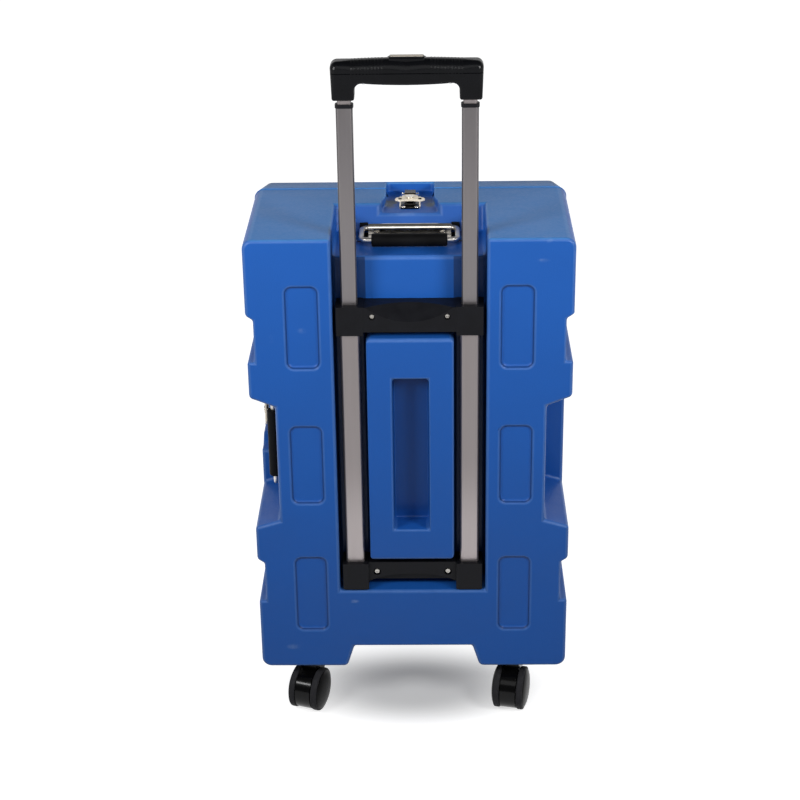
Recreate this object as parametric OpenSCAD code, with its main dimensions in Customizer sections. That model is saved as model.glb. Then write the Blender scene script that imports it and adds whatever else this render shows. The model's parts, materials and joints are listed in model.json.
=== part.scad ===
// Wheeled transport case: a moulded shell with a hinged lid, a telescopic trolley,
// sprung carry handles, butterfly catches and swivelling twin-wheel castors.
// The trolley face looks towards -Y, the lid closes the +Y side, the floor is z = 0.
// Inside the modules the case frame is used: x across, y from the trolley face, z from the case bottom.

/* [Case] */
// Width of the case across the trolley face
case_w = 450; // [430:1:520]
// Height of the case without its castors
case_h = 671; // [655:1:760]
// Depth of the main shell, from the trolley face to the lid seam
body_d = 221; // [214:1:280]
// Depth of the lid
lid_d = 40; // [34:1:60]
// Wall thickness of the moulded shells
wall = 5; // [3.5:0.5:6]
// Corner radius of the case outline
corner_r = 14; // [9:1:22]
// How far the lid stands proud of the shell all round
lid_proud = 1; // [0:0.25:1.5]
// Gap between the two rims, bridged by the gasket
seam_gap = 0.5; // [0.3:0.1:1.2]
// Chamfer round the far edge of the lid
lid_chamfer = 12; // [5:1:14]
// Width of the gasket
gasket_w = 2.6; // [1.6:0.2:3]
// Thickness of the gasket
gasket_t = 2.5; // [1.5:0.1:3]

/* [Trolley channel] */
// Width of the channel that takes the trolley
channel_w = 211; // [200:1:230]
// Depth of the channel
channel_d = 38; // [34:1:46]
// Height of the channel's lower ledge
channel_floor = 129.5; // [115:0.5:140]
// Width of the hand slot in the island between the tubes
slot_w = 51; // [36:1:80]
// Depth of the hand slot
slot_d = 40; // [20:1:44]
// Height of the hand slot's lower end above the case bottom
slot_low = 230; // [200:1:260]
// Height of the hand slot
slot_h = 236; // [150:1:260]

/* [Carry handle pocket] */
// Depth of the pocket below the top of the case
pocket_drop = 37.5; // [34:0.5:46]
// Distance from the trolley face to the foot of the pocket's rear wall
pocket_rear = 138; // [136:1:145]
// Lean of the pocket's rear wall, in degrees
pocket_draft = 20; // [10:1:24]

/* [Side recesses] */
// Depth of the middle recess in each side
recess_d = 35.5; // [26:0.5:40]
// Height of the middle recess's lower edge at its floor
recess_low = 245; // [235:1:255]
// Height of the middle recess at its floor
recess_h = 179; // [166:1:190]
// Extra opening of the middle recess at the lower edge of its mouth
recess_flare_low = 10.5; // [4:0.5:16]
// Extra opening of the middle recess at the upper edge of its mouth
recess_flare_high = 14; // [4:0.5:16]
// Depth of the small notches in each side
notch_d = 10.5; // [6:0.5:14]
// Height of each small notch
notch_h = 63; // [40:1:80]
// Extra opening of a small notch at its upper edge
notch_flare = 7; // [0:1:10]
// Height of the lower notch
notch_low = 112.5; // [90:0.5:130]
// Distance between the two small notches
notch_pitch = 379.5; // [365:0.5:400]
// Depth of the full-width band beside the seam
flange_d = 76; // [70:1:80]

/* [Panels] */
// Width of each recessed panel
panel_w = 47; // [30:1:54]
// Height of each recessed panel
panel_h = 123; // [80:1:140]
// Corner radius of each recessed panel
panel_r = 11; // [5:1:14]
// Depth of each recessed panel
panel_d = 5; // [3:0.5:7]
// Height of the lowest panel's bottom edge
panel_low = 62.5; // [55:0.5:75]
// Distance between panels
panel_pitch = 209.5; // [190:0.5:220]

/* [Foot notch] */
// Width of the notch under the case at its mouth
foot_notch_mouth = 196; // [180:1:200]
// Width of the notch at its top
foot_notch_top = 174; // [130:1:180]
// Height of the notch
foot_notch_h = 35; // [20:1:45]

/* [Catches] */
// Width of each catch's dish
dish_w = 69; // [58:1:80]
// Depth of each catch's dish
dish_depth = 13; // [12:0.5:15]
// Distance from the seam over which the dish has its narrow width
dish_run = 37; // [34:1:40]
// Width of the dish's wider mouth
mouth_w = 92; // [84:1:100]
// Distance over which the dish widens to its mouth
mouth_flare = 16; // [10:1:18]
// How far the dish runs into the lid
dish_in_lid = 25; // [23:0.5:26]
// Distance from the catch's pivot to the seam
catch_back = 30; // [29:0.5:32]
// Radius of the catch's pivot post
post_r = 4; // [3:0.25:4.5]
// Half the span of the butterfly wing
wing_reach = 22; // [18:0.5:23]
// Travel of the hook when the wing is turned
hook_travel = 5; // [3:0.5:6]
// Thickness of the catches' plates
catch_t = 1.5; // [1:0.1:1.8]

/* [Hinges] */
// Height of each hinge
hinge_h = 70; // [50:1:90]
// Height of the lower hinge's middle
hinge_low = 120; // [90:1:160]
// Distance between the hinges
hinge_pitch = 430; // [360:1:450]
// Thickness of the hinge leaves
leaf_t = 2; // [1.5:0.1:2.5]
// Outside radius of the hinge knuckles
knuckle_r = 3.5; // [3:0.1:3.8]
// Radius of the hinge pins
hinge_pin_r = 1.5; // [1:0.1:2]

/* [Carry handles] */
// Width of each carry handle across its bail
bail_w = 141; // [136:1:150]
// Distance from the bail's hinge to the middle of its grip
bail_reach = 51; // [44:1:56]
// Radius of the bail's rod
bail_r = 3.5; // [3:0.1:4]
// Radius of the bends in the bail
bend_r = 9; // [6:0.5:11]
// Radius of the rubber grip
grip_r = 9; // [7:0.5:9.5]
// Length of the rubber grip
grip_l = 105; // [80:1:112]
// Outside radius of the plate's rolled barrel
barrel_r = 6.5; // [6:0.25:8]
// Length of the rolled barrel
barrel_l = 116; // [100:1:118]
// Thickness of the handle plate
handle_plate_t = 2; // [1.5:0.1:2.5]
// Depth of the handle plate in front of the barrel
handle_plate_d = 24; // [18:1:30]
// Gap between the barrel and the foot of the pocket's rear wall
barrel_gap = 3.5; // [1:0.5:5]
// Gap between the side handle's barrel and the end of its recess
recess_gap = 10.5; // [1:0.5:20]

/* [Trolley] */
// Width of the outer tubes
outer_w = 27; // [26:0.5:30]
// Depth of the outer tubes
outer_d = 18; // [17.5:0.5:20]
// Width of the middle tubes
middle_w = 22.5; // [22:0.25:23]
// Depth of the middle tubes
middle_d = 14; // [13.5:0.25:14.25]
// Width of the inner tubes
inner_w = 18.6; // [17:0.25:18.75]
// Depth of the inner tubes
inner_d = 10.2; // [9.5:0.1:10.4]
// Wall thickness of the tubes
tube_t = 1.2; // [1:0.1:1.4]
// Corner radius of the outer tubes
tube_r = 5; // [3:0.5:6]
// Distance of the outer tubes' front behind the trolley face
tube_set_back = 8; // [6:0.5:9]
// Width of the bracket blocks that hold the tubes
block_w = 38; // [35:0.5:42]
// Height of the bracket blocks
block_h = 42; // [36:1:46]
// Gap between the bracket blocks and the channel's sides
block_gap = 4; // [2:0.5:6]
// Length of outer tube that shows between the brackets
tube_span = 358; // [345:1:362]
// Radius of the scoop along each cross bar
scoop_r = 130; // [110:5:200]
// Distance of the bracket screws from the blocks
screw_inset = 12; // [9:1:20]
// Travel of each telescopic stage
stage_travel = 274.5; // [200:0.5:285]
// Height of the collar on the middle tubes
collar_h = 5; // [4:0.5:8]
// Length of inner tube that shows below the grip at rest
inner_show = 7; // [2:0.5:8]

/* [Trolley grip] */
// Width of the trolley grip
grip_w = 200; // [196:1:202]
// Depth of the trolley grip
grip_d = 30; // [28:1:32]
// Width of each leg of the grip
leg_w = 32; // [30:1:34]
// Height of each leg below the grip's bar
leg_h = 22.5; // [18:0.5:30]
// Height of the grip's bar at its ends
bar_h = 28; // [26:1:34]
// Rise of the grip's bar at its middle
bar_rise = 3; // [2:0.5:6]
// Width of the release button
button_w = 45; // [30:1:60]
// Depth of the release button
button_d = 14; // [10:0.5:15]
// How far the button stands out of the grip
button_proud = 2.5; // [2:0.5:7]
// Travel of the release button
button_travel = 4; // [2:0.5:4.2]

/* [Castors] */
// Height of the castors, from the floor to the case
castor_h = 81; // [79:1:96]
// Diameter of the castor wheels
wheel_d = 65; // [54:1:66]
// Thickness of each castor wheel
wheel_t = 14.5; // [13:0.5:16]
// Width of each wheel's tread
tread_w = 9.5; // [8:0.5:10]
// Width of the housing between a castor's wheels
housing_w = 23; // [20:0.5:25]
// Distance from the swivel axis to the wheel axle
castor_trail = 21; // [14:1:24]
// Distance of the castors from the case's sides
castor_inset = 74.5; // [68:0.5:90]
// Distance of the castors' swivel axes from the trolley face and the seam
castor_edge = 40; // [34:1:50]
// Side of each castor's top plate
castor_plate_w = 56; // [54:1:60]
// Thickness of each castor's top plate
castor_plate_t = 2.5; // [2:0.25:4]
// Radius of the swivel pin
swivel_pin_r = 5; // [4:0.25:5.5]
// Radius of the wheel axle
axle_r = 4; // [3:0.25:5]

/* [Hidden] */
$fn = 64;

// Clearances: a shaft in its bore, a sliding fit, and the overcut that opens a cut's mouth
run_fit = 0.05;
slide_fit = 0.3;
overcut = 2;

// Colours
shell_blue = [0.17, 0.36, 0.67];
moulded_black = [0.13, 0.13, 0.15];
rubber_black = [0.08, 0.08, 0.09];
nickel = [0.78, 0.76, 0.72];
champagne = [0.7, 0.67, 0.66];
pewter = [0.5, 0.48, 0.49];
tread_grey = [0.23, 0.23, 0.25];

// Case frame
case_d = body_d + lid_d;
castor_overhang = wheel_d / 2 + castor_trail - castor_edge;
face_y = (castor_overhang - case_d) / 2;
seam_y = body_d;
side_x = case_w / 2;
recess_end = body_d - flange_d;
recess_mid = recess_low + recess_h / 2;
recess_floor_x = side_x - recess_d;
panel_x = (channel_w / 2 + recess_floor_x) / 2;
pocket_floor = case_h - pocket_drop;
notch_lean = (foot_notch_mouth - foot_notch_top) / (2 * foot_notch_h);

// Trolley heights and places
tube_x = channel_w / 2 - block_gap - block_w / 2;
tube_y = tube_set_back + outer_d / 2;
block_front = 0.5;
ledge_gap = 2;
lower_z = channel_floor + ledge_gap;
upper_z = lower_z + block_h + tube_span;
upper_top = upper_z + block_h;
socket_end = 5;
bar_inset = 5;
island_gap_low = 7;
island_gap_high = 5;
island_w = 2 * (tube_x - block_w / 2 - 3);
island_low = lower_z + block_h + island_gap_low;
island_high = upper_z - island_gap_high;
scoop_front = 20;
bracket_screw_x = tube_x - block_w / 2 - screw_inset;
bracket_screw_drop = 15;
bracket_screw_z = block_h - bracket_screw_drop;
bracket_screw_r = 2.2;
bracket_head_r = 4;
bracket_head_t = 3;
bracket_sink = 5;
bracket_screw_start = channel_d - 1;

// Telescopic stages at rest: the middle stage drawn out, the inner stage pushed home
stop_gap = 0.5;
tube_end_gap = 4;
glide_h = 12;
collar_z = upper_top + stop_gap + stage_travel;
outer_low = lower_z + socket_end;
outer_high = upper_top - socket_end;
middle_low = outer_low + tube_end_gap + glide_h + stage_travel;
leg_low = collar_z + collar_h + inner_show;
inner_low = middle_low + tube_end_gap;
leg_socket = 14;
inner_high = leg_low + leg_socket;
middle_r = tube_r - 1;
inner_r = middle_r - 1;
collar_lip = 1;

// Trolley grip
grip_under = leg_low + leg_h;
grip_split = grip_under + 13;
grip_top = grip_under + bar_h;
grip_round = 10;
crown_r = 13;
top_arc_r = (grip_w * grip_w / 4 + bar_rise * bar_rise) / (2 * bar_rise);
gap_w = grip_w - 2 * leg_w;
belly = 3;
belly_r = (gap_w * gap_w / 4 + belly * belly) / (2 * belly);
link_w = 10;
link_t = 5;
link_low = grip_split + 1;
link_end = tube_x + link_w / 2;
link_slot_w = link_w + 2;
rod_r = 2.5;
spring_x = button_w / 2 + 12;
spring_r = 3.5;
spring_bore = 2.2;
spring_low = grip_split - button_travel - 4;
grip_screw_x = gap_w / 2 - 12;
grip_screw_y = grip_d / 2 - 4.5;
grip_screw_r = 1.6;
grip_head_r = 2.8;
grip_head_t = 2;
grip_screw_sink = 4;
grip_screw_seat = grip_under - belly + grip_screw_sink;
grip_screw_high = grip_split + 7;
plug_low = inner_low + 2;
plug_h = 26;
bolt_r = 2.2;
bolt_z = plug_low + 7;
bolt_back = 1;
bolt_bore_front = 4;
rod_bore_low = bolt_z + bolt_r + 1;
rod_low = rod_bore_low + button_travel + 1;

// Catches: plates stacked outwards from the dish floor
flare_lean = tan(atan((mouth_w - dish_w) / (2 * mouth_flare)) / 2);
base_half = 15;
base_back = 25;
base_front = 14;
cheek_t = 1.5;
cheek_h = 6;
cheek_back = 8;
hook_half = 8;
hook_low = catch_t + 0.3;
hook_tail = 12;
hook_step = 24;
hook_claw = 10;
hook_end = catch_back + hook_claw;
wing_low = cheek_h + 0.6;
wing_t = 3;
cap_t = 1.3;
cap_r = post_r + 2;
strike_half = 13;
strike_gap = 2;
strike_l = 16;
strike_from = catch_back + strike_gap;
strike_to = strike_from + strike_l;
strike_lip_at = strike_from + 2 * strike_gap;
strike_lip_t = 2;
strike_lip_h = cheek_h;
hook_over = strike_lip_h + 0.4;
catch_rivet_x = 9.5;
rivet_edge = 5;
catch_rivet_y = base_back - rivet_edge;
strike_rivet_y = strike_to - rivet_edge;

// Hinges
hinge_axis_x = lid_proud + knuckle_r + 0.5;
leaf_l = 30;
lid_leaf_l = 22;
knuckle_mid = 23.4;
knuckle_gap = 0.3;
leaf_relief = knuckle_r + 0.8;
leaf_rivet_z = hinge_h / 2 - 13;
leaf_rivet_y = 19;
lid_leaf_rivet_y = 14;

// Carry handles: the hinge line sits this far out from the surface behind the plate
grip_gap = 0.8;
bail_rise = max(handle_plate_t + barrel_r, grip_r + grip_gap);
handle_y = pocket_rear - barrel_gap - barrel_r;
side_handle_y = recess_end - recess_gap - barrel_r;
bail_arm = bail_w / 2 - bail_r;
stub_in = 26;
spring_half = barrel_l / 2 - stub_in;
coil_r = 3.2;
handle_rivet_x = barrel_l / 2 - 12;
handle_rivet_y = barrel_r + handle_plate_d / 2 + 1;
handle_plate_w = bail_w + 5;

// Rivets
rivet_r = 1.6;
rivet_head_r = 3.4;
rivet_head_t = 1.3;

// Castors, as [side, end, yaw]: side -1 is left, end 0 is the trolley face and 1 the lid
BACK_LEFT = [-1, 0, -19];
BACK_RIGHT = [1, 0, -13];
FRONT_LEFT = [-1, 1, -18];
FRONT_RIGHT = [1, 1, -14];
CASTORS = [BACK_LEFT, BACK_RIGHT, FRONT_LEFT, FRONT_RIGHT];
castor_x = side_x - castor_inset;
race_t = 3;
race_r = 12;
hood_low_gap = 0.4;
hood_top = castor_plate_t + race_t + hood_low_gap;
axle_z = wheel_d / 2 - castor_h;
housing_step = 1.2;
housing_r = wheel_d / 2 - housing_step;
neck_r = 14;
hood_back = castor_trail + neck_r - housing_step;
hood_cap = 2;
hood_rise = -hood_top - hood_cap - axle_z;
hood_nose = 5;
hood_nose_z = 6;
hood_bend_z = 20;
neck_gap = 1;
neck_low = axle_z + wheel_d / 2 + neck_gap;
pin_gap = 8;
pin_low = axle_z + axle_r + pin_gap;
wheel_gap = 1.2;
hood_clear = 5;
wheel_round = 2.5;
disc_r = wheel_d / 2 - 3;
disc_step = 2.5;
disc_fall = 10;
wheel_cap = 2;
axle_l = housing_w + 2 * (wheel_gap + wheel_t - wheel_cap);
castor_screw_edge = 7;
castor_screw_at = castor_plate_w / 2 - castor_screw_edge;
castor_screw_r = 2.4;
castor_head_r = 4.2;
castor_head_t = 2;

// Placing helpers
module in_case() translate([0, face_y, castor_h]) children();
module between(low, high) translate(low) cube(high - low);
module along_y(from, to) translate([0, to, 0]) rotate([90, 0, 0]) linear_extrude(to - from) children();
module along_x(from, to) translate([from, 0, 0]) rotate([90, 0, 90]) linear_extrude(to - from) children();
module both_sides() for (s = [-1, 1]) flip_x(s) children();
module flip_x(s) if (s < 0) mirror([1, 0, 0]) children(); else children();
module rounded(w, h, r) {
  square([w - 2 * r, h], center = true);
  square([w, h - 2 * r], center = true);
  for (x = [-1, 1], y = [-1, 1]) translate([x * (w / 2 - r), y * (h / 2 - r)]) circle(r);
}
module tube_outline(w, d, r) translate([0, tube_y]) rounded(w, d, r);
module at_top_catch() translate([0, seam_y, case_h - dish_depth]) children();
module at_side_catch() translate([-side_x + dish_depth, seam_y, recess_mid]) rotate([0, -90, 0]) children();
module at_top_handle() translate([0, handle_y, pocket_floor]) children();
module at_side_handle()
  translate([-recess_floor_x, side_handle_y, recess_mid]) rotate([0, -90, 0]) children();
module at_hinges() for (i = [0, 1]) translate([side_x, seam_y, hinge_low + i * hinge_pitch]) children();
module at_pivot() translate([0, -catch_back, 0]) children();
module at_castor(c) {
  y = castor_edge + c[1] * (body_d - 2 * castor_edge);
  translate([c[0] * castor_x, y, 0]) children();
}
module at_wheels(c) at_castor(c) rotate([0, 0, c[2]]) translate([0, -castor_trail, axle_z]) children();

// The shells: each cut takes the amount it is grown by, 0 for the outside and the wall for the cavity
function notch_half(z, g) = foot_notch_mouth / 2 - notch_lean * z + g * sqrt(1 + notch_lean * notch_lean);
module foot_notch(g) {
  low = -overcut - lid_proud;
  high = foot_notch_h + g;
  polygon([[-notch_half(low, g), low], [notch_half(low, g), low], [notch_half(high, g), high],
    [-notch_half(high, g), high]]);
}
module outline(inset) difference() {
  translate([0, case_h / 2]) rounded(case_w - 2 * inset, case_h - 2 * inset, corner_r - inset);
  foot_notch(inset);
}
module island(inset) {
  front = inset > 0 ? inset : -2 * overcut;
  between([-island_w / 2 + inset, front, island_low + inset],
    [island_w / 2 - inset, channel_d + inset + overcut, island_high - inset]);
}
module channel_cut(g) {
  difference() {
    between([-channel_w / 2 - g, -overcut, channel_floor - g],
      [channel_w / 2 + g, channel_d + g, case_h + overcut]);
    island(g);
  }
  between([-slot_w / 2 - g, -overcut, slot_low - g], [slot_w / 2 + g, slot_d + g, slot_low + slot_h + g]);
}
function pocket_back(z, g) = pocket_rear + (z - pocket_floor) * tan(pocket_draft) + g / cos(pocket_draft);
module pocket_cut(g) {
  low = pocket_floor - g;
  high = case_h + overcut;
  along_x(-channel_w / 2 - g, channel_w / 2 + g)
    polygon([[-overcut, low], [pocket_back(low, g), low], [pocket_back(high, g), high], [-overcut, high]]);
}
module side_cut(depth, low, height, flare_low, flare_high, g) {
  out = side_x + overcut;
  reach = (depth + overcut) / depth;
  along_y(-overcut, recess_end + g) polygon([
    [side_x - depth - g, low - g], [out, low - flare_low * reach - g],
    [out, low + height + flare_high * reach + g], [side_x - depth - g, low + height + g]]);
}
module side_cuts(g) both_sides() {
  side_cut(recess_d, recess_low, recess_h, recess_flare_low, recess_flare_high, g);
  for (i = [0, 1]) side_cut(notch_d, notch_low + i * notch_pitch, notch_h, 0, notch_flare, g);
}
module panel_cuts(g) both_sides() for (i = [0:2])
  along_y(-overcut, panel_d + g)
    translate([panel_x, panel_low + panel_h / 2 + i * panel_pitch])
      rounded(panel_w + 2 * g, panel_h + 2 * g, panel_r + g);
module dish_cut(run, g) {
  top = dish_depth + overcut;
  near = dish_w / 2 + g;
  far = mouth_w / 2 + g;
  bend = -dish_run + g * flare_lean;
  translate([0, 0, -g]) linear_extrude(top + g) polygon([[-near, overcut], [-near, bend],
    [-far, bend - mouth_flare], [-far, -run - g], [far, -run - g], [far, bend - mouth_flare],
    [near, bend], [near, overcut]]);
}
module lid_dish_cut(g) between([-dish_w / 2 - g, -overcut, -g],
  [dish_w / 2 + g, dish_in_lid + g, dish_depth + 2 * overcut]);
module body_cuts(g) {
  channel_cut(g);
  pocket_cut(g);
  side_cuts(g);
  panel_cuts(g);
  at_top_catch() dish_cut(seam_y - pocket_rear, g);
  at_side_catch() dish_cut(flange_d + overcut, g);
}
module body_shell() color(shell_blue) in_case() difference() {
  along_y(0, body_d) outline(0);
  body_cuts(0);
  difference() {
    along_y(wall, body_d + overcut) outline(wall);
    body_cuts(wall);
  }
  body_rivets(run_fit);
  bracket_screw_places() rotate([-90, 0, 0]) cylinder(h = wall + overcut, r = bracket_screw_r + run_fit);
  castor_screw_places() cylinder(h = wall + overcut, r = castor_screw_r + run_fit);
}

// The lid: an outline prism crossed with two chamfered prisms
function shrunk_chamfer(inset) = lid_chamfer - inset * (2 - sqrt(2));
module lid_form(inset) {
  near = inset > 0 ? seam_y - overcut : seam_y + seam_gap;
  far = case_d - inset;
  c = shrunk_chamfer(inset);
  top = case_h + lid_proud - inset;
  low = inset - lid_proud;
  half = side_x + lid_proud - inset;
  intersection() {
    along_y(near, far) outline(inset - lid_proud);
    along_x(-case_w, case_w) polygon([[near, low], [far - c, low], [far, low + c], [far, top - c],
      [far - c, top], [near, top]]);
    linear_extrude(3 * case_h, center = true) polygon([[-half, near], [half, near], [half, far - c],
      [half - c, far], [c - half, far], [-half, far - c]]);
  }
}
module lid_shell() color(shell_blue) in_case() difference() {
  lid_form(0);
  at_top_catch() lid_dish_cut(0);
  at_side_catch() lid_dish_cut(0);
  difference() {
    lid_form(wall);
    at_top_catch() lid_dish_cut(wall);
    at_side_catch() lid_dish_cut(wall);
  }
  gasket_ring();
  lid_rivets(run_fit);
}
module rim(inset) difference() {
  outline(inset);
  translate([-dish_w / 2 - inset, case_h - dish_depth - inset])
    square([dish_w + 2 * inset, dish_depth + inset + overcut]);
  translate([-side_x - overcut, recess_mid - dish_w / 2 - inset])
    square([dish_depth + inset + overcut, dish_w + 2 * inset]);
}
module gasket_ring() along_y(seam_y, seam_y + gasket_t) difference() {
  rim((wall - gasket_w) / 2);
  rim((wall + gasket_w) / 2);
}
module lid_gasket() color(rubber_black) in_case() gasket_ring();

// Butt hinges on the side away from the catches, with their axis at the seam
module hinge_bore(from, to) translate([hinge_axis_x, 0, from - overcut])
  cylinder(h = to - from + 2 * overcut, r = hinge_pin_r + run_fit);
module body_leaf() {
  mid = knuckle_mid / 2 + knuckle_gap;
  difference() {
    union() {
      between([0, -leaf_l, -hinge_h / 2], [leaf_t, -leaf_relief, hinge_h / 2]);
      for (s = [-1, 1]) {
        low = s < 0 ? -hinge_h / 2 : mid;
        high = s < 0 ? -mid : hinge_h / 2;
        between([0, -leaf_relief, low], [hinge_axis_x, 0, high]);
        translate([hinge_axis_x, 0, low]) cylinder(h = high - low, r = knuckle_r);
      }
    }
    hinge_bore(-hinge_h / 2, hinge_h / 2);
    leaf_rivet_places(-leaf_rivet_y, leaf_t) rivet_hole(leaf_t);
  }
}
module lid_leaf() difference() {
  union() {
    between([lid_proud, leaf_relief, -hinge_h / 2], [lid_proud + leaf_t, lid_leaf_l, hinge_h / 2]);
    between([lid_proud, seam_gap, -knuckle_mid / 2], [hinge_axis_x, leaf_relief, knuckle_mid / 2]);
    translate([hinge_axis_x, 0, -knuckle_mid / 2]) cylinder(h = knuckle_mid, r = knuckle_r);
  }
  hinge_bore(-hinge_h / 2, hinge_h / 2);
  leaf_rivet_places(lid_leaf_rivet_y, lid_proud + leaf_t) rivet_hole(leaf_t);
}
module leaf_rivet_places(y, x)
  for (s = [-1, 1]) translate([x, y, s * leaf_rivet_z]) rotate([0, 90, 0]) children();
module hinge_leaves_body() color(nickel) in_case() at_hinges() body_leaf();
module hinge_leaves_lid() color(nickel) in_case() at_hinges() lid_leaf();
module hinge_pins() color(nickel) in_case() at_hinges()
  translate([hinge_axis_x, 0, -hinge_h / 2]) cylinder(h = hinge_h, r = hinge_pin_r);

// Rivets: the head lies on a plate, the shank runs through the plate and the wall behind it
module rivet(plate, grow) {
  translate([0, 0, -plate - wall]) cylinder(h = plate + wall, r = rivet_r + grow);
  if (grow == 0) cylinder(h = rivet_head_t, r = rivet_head_r);
}
module rivet_hole(plate) translate([0, 0, -plate - overcut])
  cylinder(h = plate + 2 * overcut, r = rivet_r + run_fit);
module catch_rivet_places(y) for (s = [-1, 1]) translate([s * catch_rivet_x, y, catch_t]) children();
module handle_rivet_places()
  for (s = [-1, 1]) translate([s * handle_rivet_x, -handle_rivet_y, handle_plate_t]) children();
module body_rivets(grow) {
  at_top_catch() at_pivot() catch_rivet_places(-catch_rivet_y) rivet(catch_t, grow);
  at_side_catch() at_pivot() catch_rivet_places(-catch_rivet_y) rivet(catch_t, grow);
  at_top_handle() handle_rivet_places() rivet(handle_plate_t, grow);
  at_side_handle() handle_rivet_places() rivet(handle_plate_t, grow);
  at_hinges() leaf_rivet_places(-leaf_rivet_y, leaf_t) rivet(leaf_t, grow);
}
module lid_rivets(grow) {
  at_top_catch() at_pivot() catch_rivet_places(strike_rivet_y) rivet(catch_t, grow);
  at_side_catch() at_pivot() catch_rivet_places(strike_rivet_y) rivet(catch_t, grow);
  at_hinges() leaf_rivet_places(lid_leaf_rivet_y, lid_proud + leaf_t) rivet(leaf_t, grow);
}
module rivets_body() color(nickel) in_case() body_rivets(0);
module rivets_lid() color(nickel) in_case() lid_rivets(0);

// Butterfly catches: base and post, turning wing, sliding hook, and the strike on the lid
module catch_base() at_pivot() difference() {
  union() {
    between([-base_half, -base_back, 0], [base_half, base_front, catch_t]);
    both_sides() between([base_half - cheek_t, -cheek_back, 0], [base_half, base_front, cheek_h]);
    cylinder(h = wing_low + wing_t + 2 * slide_fit, r = post_r);
    translate([0, 0, wing_low + wing_t + slide_fit]) cylinder(h = cap_t, r = cap_r);
  }
  catch_rivet_places(-catch_rivet_y) rivet_hole(catch_t);
}
module catch_wing() at_pivot() translate([0, 0, wing_low]) difference() {
  linear_extrude(wing_t) {
    circle(wing_reach / 2);
    polygon([[-wing_reach, -4], [-wing_reach * 0.8, -8], [wing_reach * 0.8, -8], [wing_reach, -4],
      [wing_reach * 0.5, 5], [-wing_reach * 0.5, 5]]);
  }
  translate([0, 0, -overcut]) cylinder(h = wing_t + 2 * overcut, r = post_r + run_fit);
}
module catch_hook() at_pivot() difference() {
  union() {
    between([-hook_half, -hook_tail, hook_low], [hook_half, hook_step, hook_low + catch_t]);
    between([-hook_half, hook_step, hook_low], [hook_half, hook_step + catch_t, hook_over + catch_t]);
    between([-hook_half, hook_step, hook_over], [hook_half, hook_end, hook_over + catch_t]);
  }
  between([-post_r - slide_fit, -post_r - slide_fit - hook_travel, 0],
    [post_r + slide_fit, post_r + slide_fit, hook_low + 2 * catch_t]);
}
module catch_strike() at_pivot() difference() {
  union() {
    between([-strike_half, strike_from, 0], [strike_half, strike_to, catch_t]);
    between([-hook_half, strike_lip_at, 0], [hook_half, strike_lip_at + strike_lip_t, strike_lip_h]);
  }
  catch_rivet_places(strike_rivet_y) rivet_hole(catch_t);
}
module catch_base_top() color(nickel) in_case() at_top_catch() catch_base();
module catch_wing_top() color(nickel) in_case() at_top_catch() catch_wing();
module catch_hook_top() color(nickel) in_case() at_top_catch() catch_hook();
module catch_strike_top() color(nickel) in_case() at_top_catch() catch_strike();
module catch_base_side() color(nickel) in_case() at_side_catch() catch_base();
module catch_wing_side() color(nickel) in_case() at_side_catch() catch_wing();
module catch_hook_side() color(nickel) in_case() at_side_catch() catch_hook();
module catch_strike_side() color(nickel) in_case() at_side_catch() catch_strike();

// Carry handles: a plate with a rolled barrel, a bent rod bail hinged in it, and a rubber grip
module at_hinge_line() translate([0, 0, bail_rise]) children();
module rod_x(from, to, r) translate([from, 0, 0]) rotate([0, 90, 0]) cylinder(h = to - from, r = r);
module handle_plate() difference() {
  union() {
    between([-handle_plate_w / 2, -barrel_r - handle_plate_d, 0],
      [handle_plate_w / 2, barrel_r, handle_plate_t]);
    between([-barrel_l / 2, -barrel_r, 0], [barrel_l / 2, barrel_r, bail_rise]);
    at_hinge_line() rod_x(-barrel_l / 2, barrel_l / 2, barrel_r);
  }
  at_hinge_line() rod_x(-barrel_l, barrel_l, bail_r + run_fit);
  handle_rivet_places() rivet_hole(handle_plate_t);
}
module elbow(turn) rotate([0, 0, turn]) rotate_extrude(angle = 90) translate([bend_r, 0]) circle(bail_r);
module handle_bail() at_hinge_line() {
  both_sides() {
    rod_x(spring_half, bail_arm - bend_r, bail_r);
    translate([bail_arm - bend_r, -bend_r, 0]) elbow(0);
    translate([bail_arm, -bend_r, 0]) rotate([90, 0, 0]) cylinder(h = bail_reach - 2 * bend_r, r = bail_r);
    translate([bail_arm - bend_r, bend_r - bail_reach, 0]) elbow(-90);
  }
  translate([0, -bail_reach, 0]) rod_x(bend_r - bail_arm, bail_arm - bend_r, bail_r);
}
module handle_grip() at_hinge_line() translate([0, -bail_reach, 0]) difference() {
  rod_x(-grip_l / 2, grip_l / 2, grip_r);
  rod_x(-grip_l, grip_l, bail_r + run_fit);
}
module handle_spring() at_hinge_line() difference() {
  rod_x(-spring_half, spring_half, coil_r);
  rod_x(-barrel_l, barrel_l, coil_r - 1);
}
module handle_plate_top() color(nickel) in_case() at_top_handle() handle_plate();
module handle_bail_top() color(nickel) in_case() at_top_handle() handle_bail();
module handle_grip_top() color(rubber_black) in_case() at_top_handle() handle_grip();
module handle_plate_side() color(nickel) in_case() at_side_handle() handle_plate();
module handle_bail_side() color(nickel) in_case() at_side_handle() handle_bail();
module handle_grip_side() color(rubber_black) in_case() at_side_handle() handle_grip();
module handle_springs() color(pewter) in_case() {
  at_top_handle() handle_spring();
  at_side_handle() handle_spring();
}

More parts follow.
